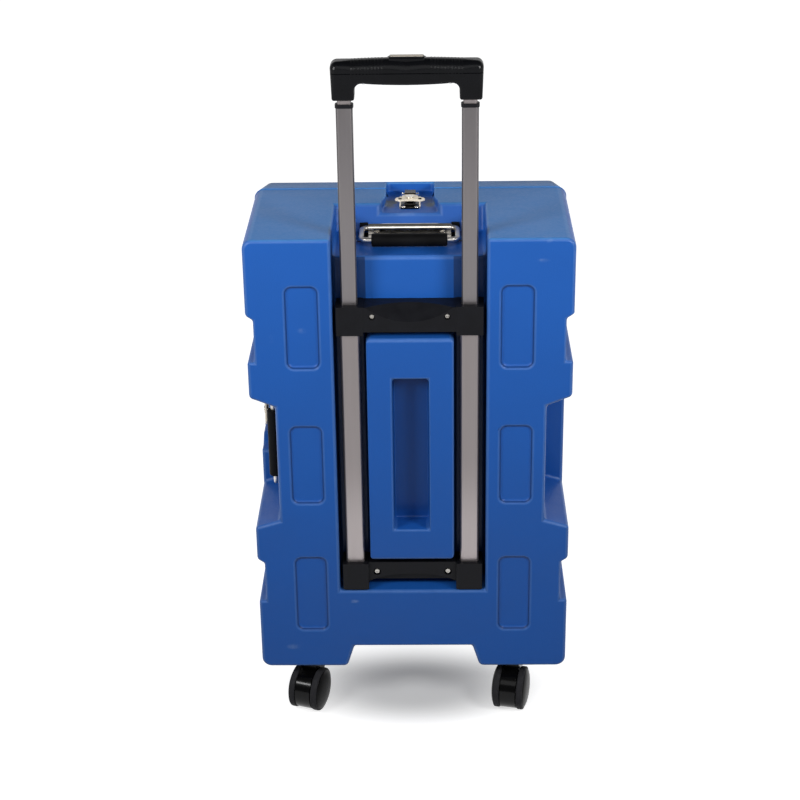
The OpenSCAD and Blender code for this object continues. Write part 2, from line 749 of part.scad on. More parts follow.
// Trolley brackets: two socket blocks joined by a scooped cross bar
module bracket_screw_places()
  for (s = [-1, 1], z = [lower_z + block_h - bracket_screw_z, upper_z + bracket_screw_z])
    translate([s * bracket_screw_x, bracket_screw_start, z]) children();
module scooped_bar() difference() {
  between([-tube_x, block_front + 1, bar_inset], [tube_x, channel_d, block_h - 1]);
  translate([0, block_front + 1, scoop_front]) rotate([-45, 0, 0]) translate([0, -scoop_r, -block_h])
    cylinder(h = 4 * block_h, r = scoop_r, $fn = 240);
}
module bracket_form() {
  both_sides() translate([tube_x, (block_front + channel_d) / 2, 0]) linear_extrude(block_h)
    rounded(block_w, channel_d - block_front, 3);
  scooped_bar();
}
module screw_bores() both_sides()
  translate([bracket_screw_x, -overcut, bracket_screw_z]) rotate([-90, 0, 0]) {
    cylinder(h = channel_d + 2 * overcut, r = bracket_screw_r + run_fit);
    cylinder(h = block_front + 1 + overcut + bracket_sink, r = bracket_head_r + slide_fit);
  }
module tube_sockets(low, high) both_sides() translate([tube_x, 0, low]) linear_extrude(high - low)
  tube_outline(outer_w + 2 * run_fit, outer_d + 2 * run_fit, tube_r);
module bracket_upper() color(moulded_black) in_case() translate([0, 0, upper_z]) difference() {
  bracket_form();
  screw_bores();
  tube_sockets(-overcut, block_h - socket_end);
  both_sides() translate([tube_x, 0, 0]) linear_extrude(block_h + overcut)
    tube_outline(middle_w + 2 * slide_fit, middle_d + 2 * slide_fit, middle_r);
}
module bracket_lower() color(moulded_black) in_case() translate([0, 0, lower_z]) difference() {
  translate([0, 0, block_h]) mirror([0, 0, 1]) difference() {
    bracket_form();
    screw_bores();
  }
  tube_sockets(socket_end, block_h + overcut);
}
module bracket_screws() color(nickel) in_case() bracket_screw_places() {
  front = block_front + 1 + bracket_sink - bracket_screw_start;
  rotate([-90, 0, 0]) {
    translate([0, 0, front]) cylinder(h = wall - front, r = bracket_screw_r);
    translate([0, 0, front - bracket_head_t]) cylinder(h = bracket_head_t, r = bracket_head_r);
  }
}

// Telescopic tubes
module tube(side, low, high, w, d, r)
  translate([side * tube_x, 0, low]) linear_extrude(high - low) difference() {
    tube_outline(w, d, r);
    tube_outline(w - 2 * tube_t, d - 2 * tube_t, r - tube_t);
  }
module outer_tube(side) color(champagne) in_case()
  tube(side, outer_low, outer_high, outer_w, outer_d, tube_r);
module middle_tube(side) color(pewter) in_case()
  tube(side, middle_low, collar_z, middle_w, middle_d, middle_r);
module middle_glides() color(moulded_black) in_case() for (s = [-1, 1])
  translate([s * tube_x, 0, middle_low - glide_h]) linear_extrude(glide_h) difference() {
    tube_outline(outer_w - 2 * tube_t - 2 * slide_fit, outer_d - 2 * tube_t - 2 * slide_fit, tube_r - tube_t);
    tube_outline(middle_w - 2 * tube_t, middle_d - 2 * tube_t, middle_r - tube_t);
  }
module inner_tube(side) color(champagne) in_case() difference() {
  tube(side, inner_low, inner_high, inner_w, inner_d, inner_r);
  translate([side * tube_x, tube_y, bolt_z]) rotate([-90, 0, 0]) cylinder(h = inner_d, r = bolt_r + run_fit);
}
module middle_collars() color(moulded_black) in_case() for (s = [-1, 1])
  translate([s * tube_x, 0, collar_z]) linear_extrude(collar_h) difference() {
    tube_outline(middle_w + 2 * collar_lip, middle_d + 2 * collar_lip, middle_r + collar_lip);
    tube_outline(inner_w + 2 * slide_fit, inner_d + 2 * slide_fit, inner_r);
  }
module tube_plugs() color(moulded_black) in_case() for (s = [-1, 1]) difference() {
  translate([s * tube_x, 0, plug_low]) linear_extrude(plug_h)
    tube_outline(inner_w - 2 * tube_t - 2 * run_fit, inner_d - 2 * tube_t - 2 * run_fit, inner_r - tube_t);
  translate([s * tube_x, tube_y - bolt_bore_front, bolt_z]) rotate([-90, 0, 0])
    cylinder(h = inner_d, r = bolt_r + run_fit);
  translate([s * tube_x, tube_y, rod_bore_low]) cylinder(h = plug_h, r = rod_r + slide_fit);
}
module lock_bolts() color(nickel) in_case() for (s = [-1, 1])
  translate([s * tube_x, tube_y - bolt_back, bolt_z]) rotate([-90, 0, 0])
    cylinder(h = inner_d / 2 + bolt_back, r = bolt_r);

// Trolley grip, split along its length, with the sprung release button and its push rods
module grip_front() difference() {
  intersection() {
    translate([0, (leg_low + grip_top + bar_rise) / 2]) rounded(grip_w, grip_top + bar_rise - leg_low, 4);
    union() {
      translate([0, grip_top + bar_rise - top_arc_r]) circle(top_arc_r, $fn = 1440);
      square([grip_w, 2 * grip_under], center = true);
    }
  }
  difference() {
    translate([0, grip_under - leg_h]) rounded(gap_w, 2 * leg_h, grip_round);
    translate([0, grip_under - belly + belly_r]) circle(belly_r, $fn = 720);
  }
}
module grip_side() {
  low = leg_low - overcut;
  high = grip_top + bar_rise;
  translate([tube_y, (low + high) / 2]) rounded(grip_d, high - low, crown_r);
}
module grip_form() intersection() {
  along_y(tube_y - grip_d / 2, tube_y + grip_d / 2) grip_front();
  along_x(-grip_w / 2, grip_w / 2) union() {
    grip_side();
    translate([tube_y - grip_d / 2, leg_low]) square([grip_d, leg_h]);
  }
}
module link_space(low, high) between([-link_end - 1, tube_y - link_slot_w / 2, low],
  [link_end + 1, tube_y + link_slot_w / 2, high]);
module grip_screw_places() for (x = [-1, 1], y = [-1, 1])
  translate([x * grip_screw_x, tube_y + y * grip_screw_y, grip_screw_seat]) children();
module grip_screw_bores() grip_screw_places() {
  cylinder(h = grip_screw_high, r = grip_screw_r + run_fit);
  translate([0, 0, -grip_screw_sink - overcut])
    cylinder(h = grip_screw_sink + overcut, r = grip_head_r + slide_fit);
}
module grip_upper() color(rubber_black) in_case() difference() {
  grip_form();
  between([-grip_w, -grip_w, leg_low - overcut], [grip_w, grip_w, grip_split]);
  link_space(grip_split - overcut, link_low + link_t + 1);
  button_space(slide_fit);
  grip_screw_space();
}
module button_space(grow) between([-button_w / 2 - grow, tube_y - button_d / 2 - grow, link_low],
  [button_w / 2 + grow, tube_y + button_d / 2 + grow, grip_top + 2 * bar_rise]);
module grip_screw_space() intersection() {
  grip_screw_bores();
  between([-grip_w, -grip_w, leg_low], [grip_w, grip_w, grip_screw_high]);
}
module grip_lower() color(rubber_black) in_case() difference() {
  grip_form();
  between([-grip_w, -grip_w, grip_split], [grip_w, grip_w, grip_top + 3 * bar_rise]);
  link_space(spring_low, grip_split + overcut);
  both_sides() translate([tube_x, tube_y, leg_low]) cylinder(h = leg_h + bar_h, r = rod_r + slide_fit);
  both_sides() translate([tube_x, 0, leg_low - overcut]) linear_extrude(leg_socket + overcut)
    tube_outline(inner_w + 2 * run_fit, inner_d + 2 * run_fit, inner_r);
  grip_screw_bores();
}
module grip_screws() color(nickel) in_case() grip_screw_places() {
  cylinder(h = grip_screw_high - grip_screw_seat - 1, r = grip_screw_r);
  translate([0, 0, -grip_head_t]) cylinder(h = grip_head_t, r = grip_head_r);
}
module release_button() color(pewter) in_case()
  between([-button_w / 2, tube_y - button_d / 2, link_low + link_t],
    [button_w / 2, tube_y + button_d / 2, grip_top + bar_rise + button_proud]);
module release_linkage() color(moulded_black) in_case() {
  between([-link_end, tube_y - link_w / 2, link_low], [link_end, tube_y + link_w / 2, link_low + link_t]);
  both_sides() translate([tube_x, tube_y, rod_low]) cylinder(h = link_low - rod_low, r = rod_r);
}
module button_springs() color(nickel) in_case() both_sides()
  translate([spring_x, tube_y, spring_low]) difference() {
    cylinder(h = link_low - spring_low, r = spring_r);
    translate([0, 0, -overcut]) cylinder(h = link_low, r = spring_bore);
  }

// Castors: a fixed plate with its swivel pin, a housing that swivels, an axle and two wheels
module castor_screw_places() for (c = CASTORS) at_castor(c)
  for (x = [-1, 1], y = [-1, 1]) translate([x * castor_screw_at, y * castor_screw_at, 0]) children();
module castor_plates() color(pewter) in_case() difference() {
  for (c = CASTORS) at_castor(c) {
    translate([0, 0, -castor_plate_t]) linear_extrude(castor_plate_t)
      rounded(castor_plate_w, castor_plate_w, 6);
    translate([0, 0, -castor_plate_t - race_t]) cylinder(h = race_t, r = race_r);
    translate([0, 0, pin_low]) cylinder(h = -castor_plate_t - pin_low, r = swivel_pin_r);
  }
  castor_screw_places() translate([0, 0, -castor_plate_t - overcut])
    cylinder(h = castor_plate_t + 2 * overcut, r = castor_screw_r + run_fit);
}
module castor_screws() color(nickel) in_case() castor_screw_places() {
  translate([0, 0, -castor_plate_t]) cylinder(h = castor_plate_t + wall, r = castor_screw_r);
  translate([0, 0, -castor_plate_t - castor_head_t]) cylinder(h = castor_head_t, r = castor_head_r);
}
module hood(c) color(rubber_black) in_case() difference() {
  union() {
    at_castor(c) translate([0, 0, neck_low]) cylinder(h = -hood_top - neck_low, r = neck_r);
    at_wheels(c) {
      difference() {
        rod_x(-housing_w / 2, housing_w / 2, housing_r);
        between([-housing_w, -wheel_d, -wheel_d], [housing_w, wheel_d, hood_clear - wheel_d / 2]);
      }
      along_x(-housing_w / 2, housing_w / 2) polygon([[0, 0], [hood_back - hood_nose, hood_nose_z],
        [hood_back, hood_bend_z], [hood_back, hood_rise], [0, hood_rise]]);
    }
  }
  at_castor(c) translate([0, 0, pin_low - neck_gap]) cylinder(h = -pin_low, r = swivel_pin_r + run_fit);
  at_wheels(c) rod_x(-housing_w, housing_w, axle_r + run_fit);
}
module axle(c) color(pewter) in_case() at_wheels(c) rod_x(-axle_l / 2, axle_l / 2, axle_r);
module wheel(c, side) color(tread_grey) in_case() at_wheels(c) flip_x(side)
  translate([housing_w / 2 + wheel_gap, 0, 0]) rotate([90, 0, 90]) difference() {
    rotate_extrude() {
      intersection() {
        translate([0, tread_w / 2]) rounded(wheel_d, tread_w, wheel_round);
        square([wheel_d, tread_w]);
      }
      polygon([[0, 0], [disc_r, 0], [disc_r, tread_w], [disc_r - disc_step, (2 * tread_w + wheel_t) / 3],
        [disc_r - disc_fall, wheel_t - 1], [0, wheel_t]]);
    }
    translate([0, 0, -overcut]) cylinder(h = wheel_t - wheel_cap + overcut, r = axle_r + run_fit);
  }

body_shell();
lid_shell();
lid_gasket();
hinge_leaves_body();
hinge_leaves_lid();
hinge_pins();
rivets_body();
rivets_lid();
catch_base_top();
catch_wing_top();
catch_hook_top();
catch_strike_top();
catch_base_side();
catch_wing_side();
catch_hook_side();
catch_strike_side();
handle_plate_top();
handle_bail_top();
handle_grip_top();
handle_plate_side();
handle_bail_side();
handle_grip_side();
handle_springs();
bracket_upper();
bracket_lower();
bracket_screws();
outer_tube(-1);  // outer_tube_left
outer_tube(1);  // outer_tube_right
middle_tube(-1);  // middle_tube_left
middle_tube(1);  // middle_tube_right
middle_collars();
middle_glides();
inner_tube(-1);  // inner_tube_left
inner_tube(1);  // inner_tube_right
tube_plugs();
lock_bolts();
grip_upper();
grip_lower();
grip_screws();
release_button();
release_linkage();
button_springs();
castor_plates();
castor_screws();
hood(BACK_LEFT);  // hood_back_left
hood(BACK_RIGHT);  // hood_back_right
hood(FRONT_LEFT);  // hood_front_left
hood(FRONT_RIGHT);  // hood_front_right
axle(BACK_LEFT);  // axle_back_left
axle(BACK_RIGHT);  // axle_back_right
axle(FRONT_LEFT);  // axle_front_left
axle(FRONT_RIGHT);  // axle_front_right
wheel(BACK_LEFT, -1);  // wheel_back_left_a
wheel(BACK_LEFT, 1);  // wheel_back_left_b
wheel(BACK_RIGHT, -1);  // wheel_back_right_a
wheel(BACK_RIGHT, 1);  // wheel_back_right_b
wheel(FRONT_LEFT, -1);  // wheel_front_left_a
wheel(FRONT_LEFT, 1);  // wheel_front_left_b
wheel(FRONT_RIGHT, -1);  // wheel_front_right_a
wheel(FRONT_RIGHT, 1);  // wheel_front_right_b
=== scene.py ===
"""Looks of a wheeled transport case with a telescopic trolley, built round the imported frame.

Every place comes from the frame. Pieces are made in metres where their CAD nodes stand, and each rides
on the body of the node that it stands for.
"""

from __future__ import annotations

import json
import logging
import math
from dataclasses import dataclass, replace
from enum import Enum
from functools import lru_cache
from typing import Any, Callable, Iterable, Sequence

import bmesh
import bpy
from mathutils import Matrix, Vector

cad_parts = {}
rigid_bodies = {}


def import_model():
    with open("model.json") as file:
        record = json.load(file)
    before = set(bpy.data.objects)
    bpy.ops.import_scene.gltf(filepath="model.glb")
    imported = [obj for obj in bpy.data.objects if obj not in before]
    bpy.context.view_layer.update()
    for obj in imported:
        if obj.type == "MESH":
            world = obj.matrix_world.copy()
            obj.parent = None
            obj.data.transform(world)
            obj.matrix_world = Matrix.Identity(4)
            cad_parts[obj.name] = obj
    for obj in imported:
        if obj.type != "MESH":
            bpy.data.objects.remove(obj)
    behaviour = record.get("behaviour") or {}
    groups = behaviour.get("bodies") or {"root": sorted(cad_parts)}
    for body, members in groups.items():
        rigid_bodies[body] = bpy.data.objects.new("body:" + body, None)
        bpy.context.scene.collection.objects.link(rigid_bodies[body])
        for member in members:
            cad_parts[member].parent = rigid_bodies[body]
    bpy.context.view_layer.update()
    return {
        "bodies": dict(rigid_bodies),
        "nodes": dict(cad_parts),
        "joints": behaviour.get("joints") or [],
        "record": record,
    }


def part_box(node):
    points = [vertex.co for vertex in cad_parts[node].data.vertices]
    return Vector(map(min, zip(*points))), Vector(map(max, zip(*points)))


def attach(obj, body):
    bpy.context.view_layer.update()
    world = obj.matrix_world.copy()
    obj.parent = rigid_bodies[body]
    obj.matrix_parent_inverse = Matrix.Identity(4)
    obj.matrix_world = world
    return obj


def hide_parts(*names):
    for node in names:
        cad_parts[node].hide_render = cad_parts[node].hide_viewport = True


log = logging.getLogger("transport_case")

MM = 0.001
EDGE_LAYER = "edge"
FACING_LAYER = "facing"
STRIP_WIDTH = 4.0 * MM
CASTOR_PLATE_ROUND = 0.6 * MM
WEAR_AND_HIGHLIGHT_BEND = 18.0
WELD = 1e-7
CAD_WELD = 2e-6
FLAT_ANGLE = 0.5
EDGE_ANGLE = 32.0
SHARP_ANGLE = 34.0
ROUND_ANGLE = 40.0
NORMAL_WEIGHT = 60
HEAD_SLACK = 0.4 * MM
Colour = tuple[float, float, float]
Point = tuple[float, float]


class Slot(Enum):
    """The record's material slots."""

    SHELL = "shell_blue"
    GASKET = "gasket_rubber"
    NICKEL = "nickel"
    BRACKET = "bracket_plastic"
    GRIP = "grip_plastic"
    RUBBER = "handle_rubber"
    CHAMPAGNE = "tube_champagne"
    PEWTER = "tube_pewter"
    BUTTON = "button_grey"
    GLOSS = "castor_gloss"
    TREAD = "tread_rubber"
    STEEL = "steel"


class Face(Enum):
    """The face of the case that a catch or a carry handle sits on."""

    TOP = "top"
    SIDE = "side"

    @property
    def outward(self) -> int:
        """The axis that leads out of the face."""
        return 2 if self is Face.TOP else 0

    @property
    def across(self) -> int:
        """The axis that runs along the face, across the case's depth."""
        return 0 if self is Face.TOP else 2

    def ends(self, node: str) -> tuple[Vector, Vector]:
        """The corners of a CAD node's box: the one towards the case, and the one furthest out."""
        low, high = node_box(node)
        return (low, high) if self is Face.TOP else (high, low)

    def place(self, bm: bmesh.types.BMesh, middle: Vector) -> None:
        """Turns a mesh made along X to run along the face, and moves it to a place."""
        if self is Face.SIDE:
            bmesh.ops.rotate(bm, verts=bm.verts, matrix=Matrix.Rotation(math.radians(-90), 3, "Y"))
        bmesh.ops.translate(bm, verts=bm.verts, vec=middle)


class Drive(Enum):
    """How the head of a fastener is formed."""

    DOME = "dome"
    CROSS = "cross"


class Graph:
    """A shader node tree, with short calls that add and join its nodes."""

    def __init__(self, tree: bpy.types.NodeTree, coordinates: str = "Object") -> None:
        """Empties a tree and starts it with its coordinates.

        Args:
            tree: The tree.
            coordinates: The coordinates that its patterns read.
        """
        self.tree = tree
        tree.nodes.clear()
        self.place = self.add("ShaderNodeTexCoord").outputs[coordinates]

    def add(self, kind: str, **settings: Any) -> bpy.types.Node:
        """Adds a node.

        Args:
            kind: The node's type name.
            settings: Properties to set on it.

        Returns:
            The new node.
        """
        node = self.tree.nodes.new(kind)
        for key, value in settings.items():
            setattr(node, key, value)
        return node

    def put(self, socket: bpy.types.NodeSocket, value: Any) -> None:
        """Links a socket to another node's output, or sets its value.

        Args:
            socket: The input to fill.
            value: An output socket, a number, or a colour of three numbers.
        """
        if isinstance(value, bpy.types.NodeSocket):
            self.tree.links.new(value, socket)
        elif socket.type == "RGBA":
            socket.default_value = (*value, 1.0)
        else:
            socket.default_value = value

    def noise(self, scale: float, detail: float = 3.0, stretch: Sequence[float] = (1, 1, 1)) -> Any:
        """Adds a noise pattern.

        Args:
            scale: Cells a metre.
            detail: Octaves of finer noise.
            stretch: Scale of each axis before the noise.

        Returns:
            The noise's value socket, from 0 to 1.
        """
        place = self.place
        if tuple(stretch) != (1, 1, 1):
            mapping = self.add("ShaderNodeMapping")
            self.put(mapping.inputs["Vector"], place)
            mapping.inputs["Scale"].default_value = stretch
            place = mapping.outputs["Vector"]
        node = self.add("ShaderNodeTexNoise")
        self.put(node.inputs["Vector"], place)
        self.put(node.inputs["Scale"], scale)
        self.put(node.inputs["Detail"], detail)
        return node.outputs["Fac"]

    def band(self, value: Any, low: float, high: float, to_low: Any = 0.0, to_high: Any = 1.0) -> Any:
        """Maps a value smoothly from one range to another.

        Args:
            value: The socket to map.
            low: Value that gives to_low.
            high: Value that gives to_high.
            to_low: Result at low, a number or socket.
            to_high: Result at high, a number or socket.

        Returns:
            The mapped value's socket.
        """
        node = self.add("ShaderNodeMapRange", interpolation_type="SMOOTHSTEP")
        for key, item in zip(("Value", "From Min", "From Max", "To Min", "To Max"),
                             (value, low, high, to_low, to_high)):
            self.put(node.inputs[key], item)
        return node.outputs["Result"]

    def math(self, operation: str, first: Any, second: Any) -> Any:
        """Adds a sum of two values.

        Args:
            operation: The Math node's operation.
            first: First value or socket.
            second: Second value or socket.

        Returns:
            The result's socket.
        """
        node = self.add("ShaderNodeMath", operation=operation)
        self.put(node.inputs[0], first)
        self.put(node.inputs[1], second)
        return node.outputs[0]

    def axis(self, index: int) -> Any:
        """One of the place's coordinates.

        Args:
            index: 0, 1 or 2 for X, Y or Z.

        Returns:
            The coordinate's socket, in metres.
        """
        node = self.add("ShaderNodeSeparateXYZ")
        self.put(node.inputs[0], self.place)
        return node.outputs[index]

    def mix(self, share: Any, first: Any, second: Any) -> Any:
        """Mixes two colours.

        Args:
            share: Socket that gives the second colour's share.
            first: Colour or socket at 0.
            second: Colour or socket at 1.

        Returns:
            The mixed colour's socket.
        """
        node = self.add("ShaderNodeMix", data_type="RGBA")
        self.put(node.inputs[0], share)
        self.put(node.inputs[6], first)
        self.put(node.inputs[7], second)
        return node.outputs[2]

    def bump(self, height: Any, depth: float, under: Any = None) -> Any:
        """Adds a bump.

        Args:
            height: Socket that gives the height from 0 to 1.
            depth: Height of 1 in metres.
            under: Normal socket of a bump below this one.

        Returns:
            The normal's socket.
        """
        node = self.add("ShaderNodeBump")
        self.put(node.inputs["Height"], height)
        self.put(node.inputs["Distance"], depth)
        if under is not None:
            self.put(node.inputs["Normal"], under)
        return node.outputs["Normal"]

    def distance(self, centre: Sequence[float], reach: Sequence[float]) -> Any:
        """How far a place is from a centre, as a share of the reach.

        Args:
            centre: The centre in metres.
            reach: The reach along each axis in metres.

        Returns:
            A value socket, 0 in the middle and 1 at the reach.
        """
        mapping = self.add("ShaderNodeMapping", vector_type="TEXTURE")
        self.put(mapping.inputs["Vector"], self.place)
        mapping.inputs["Location"].default_value = centre
        mapping.inputs["Scale"].default_value = reach
        length = self.add("ShaderNodeVectorMath", operation="LENGTH")
        self.put(length.inputs[0], mapping.outputs["Vector"])
        return length.outputs["Value"]

    def inside(self, centre: Sequence[float], reach: Sequence[float], fade: Sequence[float]) -> Any:
        """A box with soft sides in the part's frame.

        Args:
            centre: The box's middle in metres.
            reach: Its half sizes in metres.
            fade: How far inside each pair of sides the share rises to 1, in metres.

        Returns:
            A value socket, 1 well inside the box and 0 outside it.
        """
        share: Any = 1.0
        for index, (middle, half, soft) in enumerate(zip(centre, reach, fade)):
            off = self.math("ABSOLUTE", self.math("SUBTRACT", self.axis(index), middle), 0.0)
            share = self.math("MULTIPLY", self.band(off, half, half - soft), share)
        return share


class Shader(Graph):
    """A material's node graph with a principled surface."""

    def __init__(self, name: str) -> None:
        """Starts the material.

        Args:
            name: The material's name.
        """
        self.material = bpy.data.materials.new(name)
        self.material.use_nodes = True
        super().__init__(self.material.node_tree)
        self.surface = self.add("ShaderNodeBsdfPrincipled")
        out = self.add("ShaderNodeOutputMaterial")
        self.put(out.inputs["Surface"], self.surface.outputs["BSDF"])


def shade(colour: Colour, factor: float) -> Colour:
    """A colour made lighter or darker by a factor."""
    return tuple(min(1.0, channel * factor) for channel in colour)


@dataclass(frozen=True)
class Finish:
    """A surface finish: its colour and gloss, and the grain that both vary by."""

    name: str
    slot: Slot
    colour: Colour
    roughness: float
    metallic: float = 0.0
    mottle: float = 0.12
    mottle_scale: float = 60.0
    rough_spread: float = 0.08
    grain_scale: float = 900.0
    grain_depth: float = 0.00006
    stretch: tuple[float, float, float] = (1, 1, 1)
    dust: float = 0.0
    dust_colour: Colour = (0.3, 0.29, 0.28)
    coat: float = 0.0
    coat_roughness: float = 0.06
    specular: float = 0.5

    def material(self) -> bpy.types.Material:
        """The finish's material, made once."""
        return made_material(self)

    def build(self) -> bpy.types.Material:
        """Builds the finish's node graph.

        Returns:
            The new material.
        """
        graph = Shader(self.name)
        surface = graph.surface
        broad = graph.noise(self.mottle_scale, 4.0, self.stretch)
        fine = graph.noise(self.grain_scale, 2.0, self.stretch)
        share = graph.band(broad, 0.3, 0.7)
        colour = graph.mix(share, shade(self.colour, 1 - self.mottle), shade(self.colour, 1 + self.mottle))
        if self.dust > 0:
            dust = graph.band(graph.noise(self.mottle_scale * 2.7, 6.0), 0.5, 0.8, 0.0, self.dust)
            colour = graph.mix(dust, colour, self.dust_colour)
        graph.put(surface.inputs["Base Color"], self.over(graph, colour))
        rough = graph.band(graph.math("ADD", broad, fine), 0.7, 1.3,
                           max(0.02, self.roughness - self.rough_spread), self.roughness + self.rough_spread)
        graph.put(surface.inputs["Roughness"], rough)
        graph.put(surface.inputs["Metallic"], self.metallic)
        graph.put(surface.inputs["Specular IOR Level"], self.specular)
        graph.put(surface.inputs["Coat Weight"], self.coat)
        graph.put(surface.inputs["Coat Roughness"], self.coat_roughness)
        graph.put(surface.inputs["Normal"], graph.bump(fine, self.grain_depth))
        return graph.material

    def over(self, graph: Shader, colour: Any) -> Any:
        """What a finish with a pattern of its own lays over its colour; here nothing."""
        return colour


@dataclass(frozen=True)
class TubeFinish(Finish):
    """Anodised tubes with painted light, lighter low down and darker high up, and painted shade on their
    corners.
    """

    middle: Point = (0.0, 0.0)
    half: Point = (0.0, 0.0)
    corner: float = 2.4 * MM
    corner_share: float = 0.8
    corner_full: float = 0.4
    corner_colour: Colour = (0.03, 0.03, 0.032)
    fade_share: float = 0.75
    heights: Point = (0.0, 1.0)
    gains: Point = (1.0, 1.0)

    def over(self, graph: Shader, colour: Any) -> Any:
        """Paints light on both tubes of a pair, lighter low down and darker high up, and paints shade on
        their corners.

        Args:
            graph: The material's graph.
            colour: The colour so far.

        Returns:
            The colour's socket, with the painted light and the painted shade on the corners.
        """
        # Painted light: the colour is scaled by one gain low down and another high up.
        tone = graph.mix(graph.band(graph.axis(2), *self.heights), shade(self.colour, self.gains[0]),
                         shade(self.colour, self.gains[1]))
        colour = graph.mix(self.fade_share, colour, tone)
        # Painted shade: the corners of the tubes are darkened towards a near-black colour.
        share: Any = self.corner_share
        for index in range(2):
            place = graph.axis(index)
            if index == 0:
                place = graph.math("ABSOLUTE", place, 0.0)
            off = graph.math("ABSOLUTE", graph.math("SUBTRACT", place, self.middle[index]), 0.0)
            side = self.half[index]
            near = graph.band(off, side - self.corner, side - self.corner_full * self.corner)
            share = graph.math("MULTIPLY", near, share)
        return graph.mix(share, colour, self.corner_colour)


@dataclass(frozen=True)
class Well:
    """A box inside which painted shade darkens the colour: its middle and half sizes in metres."""

    centre: tuple[float, float, float]
    reach: tuple[float, float, float]


@dataclass(frozen=True)
class WellFinish(Finish):
    """Plated metal with painted shade inside its wells."""

    wells: tuple[Well, ...] = ()
    fade: float = 0.4 * MM
    stain: Colour = (0.012, 0.011, 0.01)

    def over(self, graph: Shader, colour: Any) -> Any:
        """Paints shade on what lies inside the wells.

        Args:
            graph: The material's graph.
            colour: The colour so far.

        Returns:
            The colour's socket with the painted shade.
        """
        for well in self.wells:
            colour = graph.mix(graph.inside(well.centre, well.reach, (self.fade,) * 3), colour, self.stain)
        return colour


PALE_RUB = (0.25, 0.36, 0.55)
DISH_REFLECTION_GREY = (0.085, 0.115, 0.16)


@dataclass(frozen=True)
class Rub:
    """A spot of the shell, most of them rubbed wear and the grey ones in the catch dish a painted reflection:
    its middle and reach in metres, its strength and its colour.
    """

    centre: tuple[float, float, float]
    reach: tuple[float, float, float]
    strength: float
    tint: Colour = PALE_RUB


@dataclass(frozen=True)
class Recess:
    """A recess of the shell where light hardly reaches, with painted shade: its box, soft sides and last Y in
    metres, and the share of colour left.
    """

    centre: tuple[float, float, float]
    reach: tuple[float, float, float]
    fade: tuple[float, float, float]
    back: float
    left: float

    def both(self) -> tuple[Recess, Recess]:
        """The recess and its mirror image on the other side of the case."""
        x, y, z = self.centre
        return self, replace(self, centre=(-x, y, z))


@dataclass(frozen=True)
class ShellFinish(Finish):
    """Moulded polythene with an orange-peel skin, edges paler from wear and a painted highlight, a painted
    sheen on the top, rubbed spots, painted reflection in the catch dish and painted shade in recesses.
    """

    edge_tint: Colour = (0.14, 0.28, 0.56)
    edge_share: float = 0.26
    edge_scale: float = 55.0
    rubs: tuple[Rub, ...] = ()
    rub_scale: float = 46.0
    rub_core: float = 0.25
    recesses: tuple[Recess, ...] = ()
    recess_end: float = 0.5 * MM
    top_level: float = 0.7495
    top_fade: float = 2.0 * MM
    top_tint: Colour = (0.026, 0.165, 0.46)
    cloud_scale: float = 5.0
    speck_scale: float = 260.0
    speck_light: float = 1.25
    swell_scale: float = 24.0
    swell_depth: float = 0.9 * MM

    def build(self) -> bpy.types.Material:
        """Builds the shell's node graph.

        Returns:
            The new material.
        """
        graph = Shader(self.name)
        surface = graph.surface
        cloud = graph.noise(self.cloud_scale, 2.0)
        speck = graph.noise(self.speck_scale, 3.0)
        peel = graph.noise(self.grain_scale, 1.0)
        swell = graph.noise(self.swell_scale, 1.0)
        colour = graph.mix(graph.band(cloud, 0.35, 0.65), shade(self.colour, 1 - self.mottle),
                           shade(self.colour, 1 + self.mottle))
        colour = graph.mix(graph.band(speck, 0.55, 0.75, 0.0, 0.1), colour,
                           shade(self.colour, self.speck_light))
        # Painted sheen: the top of the case is given a paler colour for the light that it catches.
        top = graph.band(graph.axis(2), self.top_level, self.top_level + self.top_fade)
        colour = graph.mix(top, colour, self.top_tint)
        # Paler outward edges: partly wear, partly a painted highlight along the rounded edges.
        edge = graph.add("ShaderNodeAttribute", attribute_name=EDGE_LAYER).outputs["Fac"]
        patchy = graph.band(graph.noise(self.edge_scale, 5.0), 0.35, 0.7, 0.2, self.edge_share)
        colour = graph.mix(graph.math("MULTIPLY", edge, patchy), colour, self.edge_tint)
        # Painted shade: the colour is darkened inside the recesses.
        for recess in self.recesses:
            inside = graph.inside(recess.centre, recess.reach, recess.fade)
            before = graph.band(graph.axis(1), recess.back + self.recess_end, recess.back)
            share = graph.math("MULTIPLY", before, inside)
            colour = graph.mix(share, colour, shade(self.colour, recess.left))
        streaks = graph.band(graph.noise(self.rub_scale, 6.0), 0.38, 0.66)
        # Rubbed wear, and in the catch dish painted reflection, laid over the colour in streaks.
        for marking in self.rubs:
            spot = graph.band(graph.distance(marking.centre, marking.reach), 1.0, self.rub_core)
            share = graph.math("MULTIPLY", spot, streaks)
            colour = graph.mix(graph.math("MULTIPLY", share, marking.strength), colour, marking.tint)
        graph.put(surface.inputs["Base Color"], colour)
        graph.put(surface.inputs["Specular IOR Level"], self.specular)
        rough = graph.band(graph.math("ADD", cloud, speck), 0.7, 1.3,
                           self.roughness - self.rough_spread, self.roughness + self.rough_spread)
        graph.put(surface.inputs["Roughness"], rough)
        soft = graph.bump(swell, self.swell_depth)
        graph.put(surface.inputs["Normal"], graph.bump(peel, self.grain_depth, soft))
        return graph.material


@lru_cache(maxsize=None)
def made_material(finish: Finish) -> bpy.types.Material:
    """The material of a finish, built on its first use."""
    return finish.build()


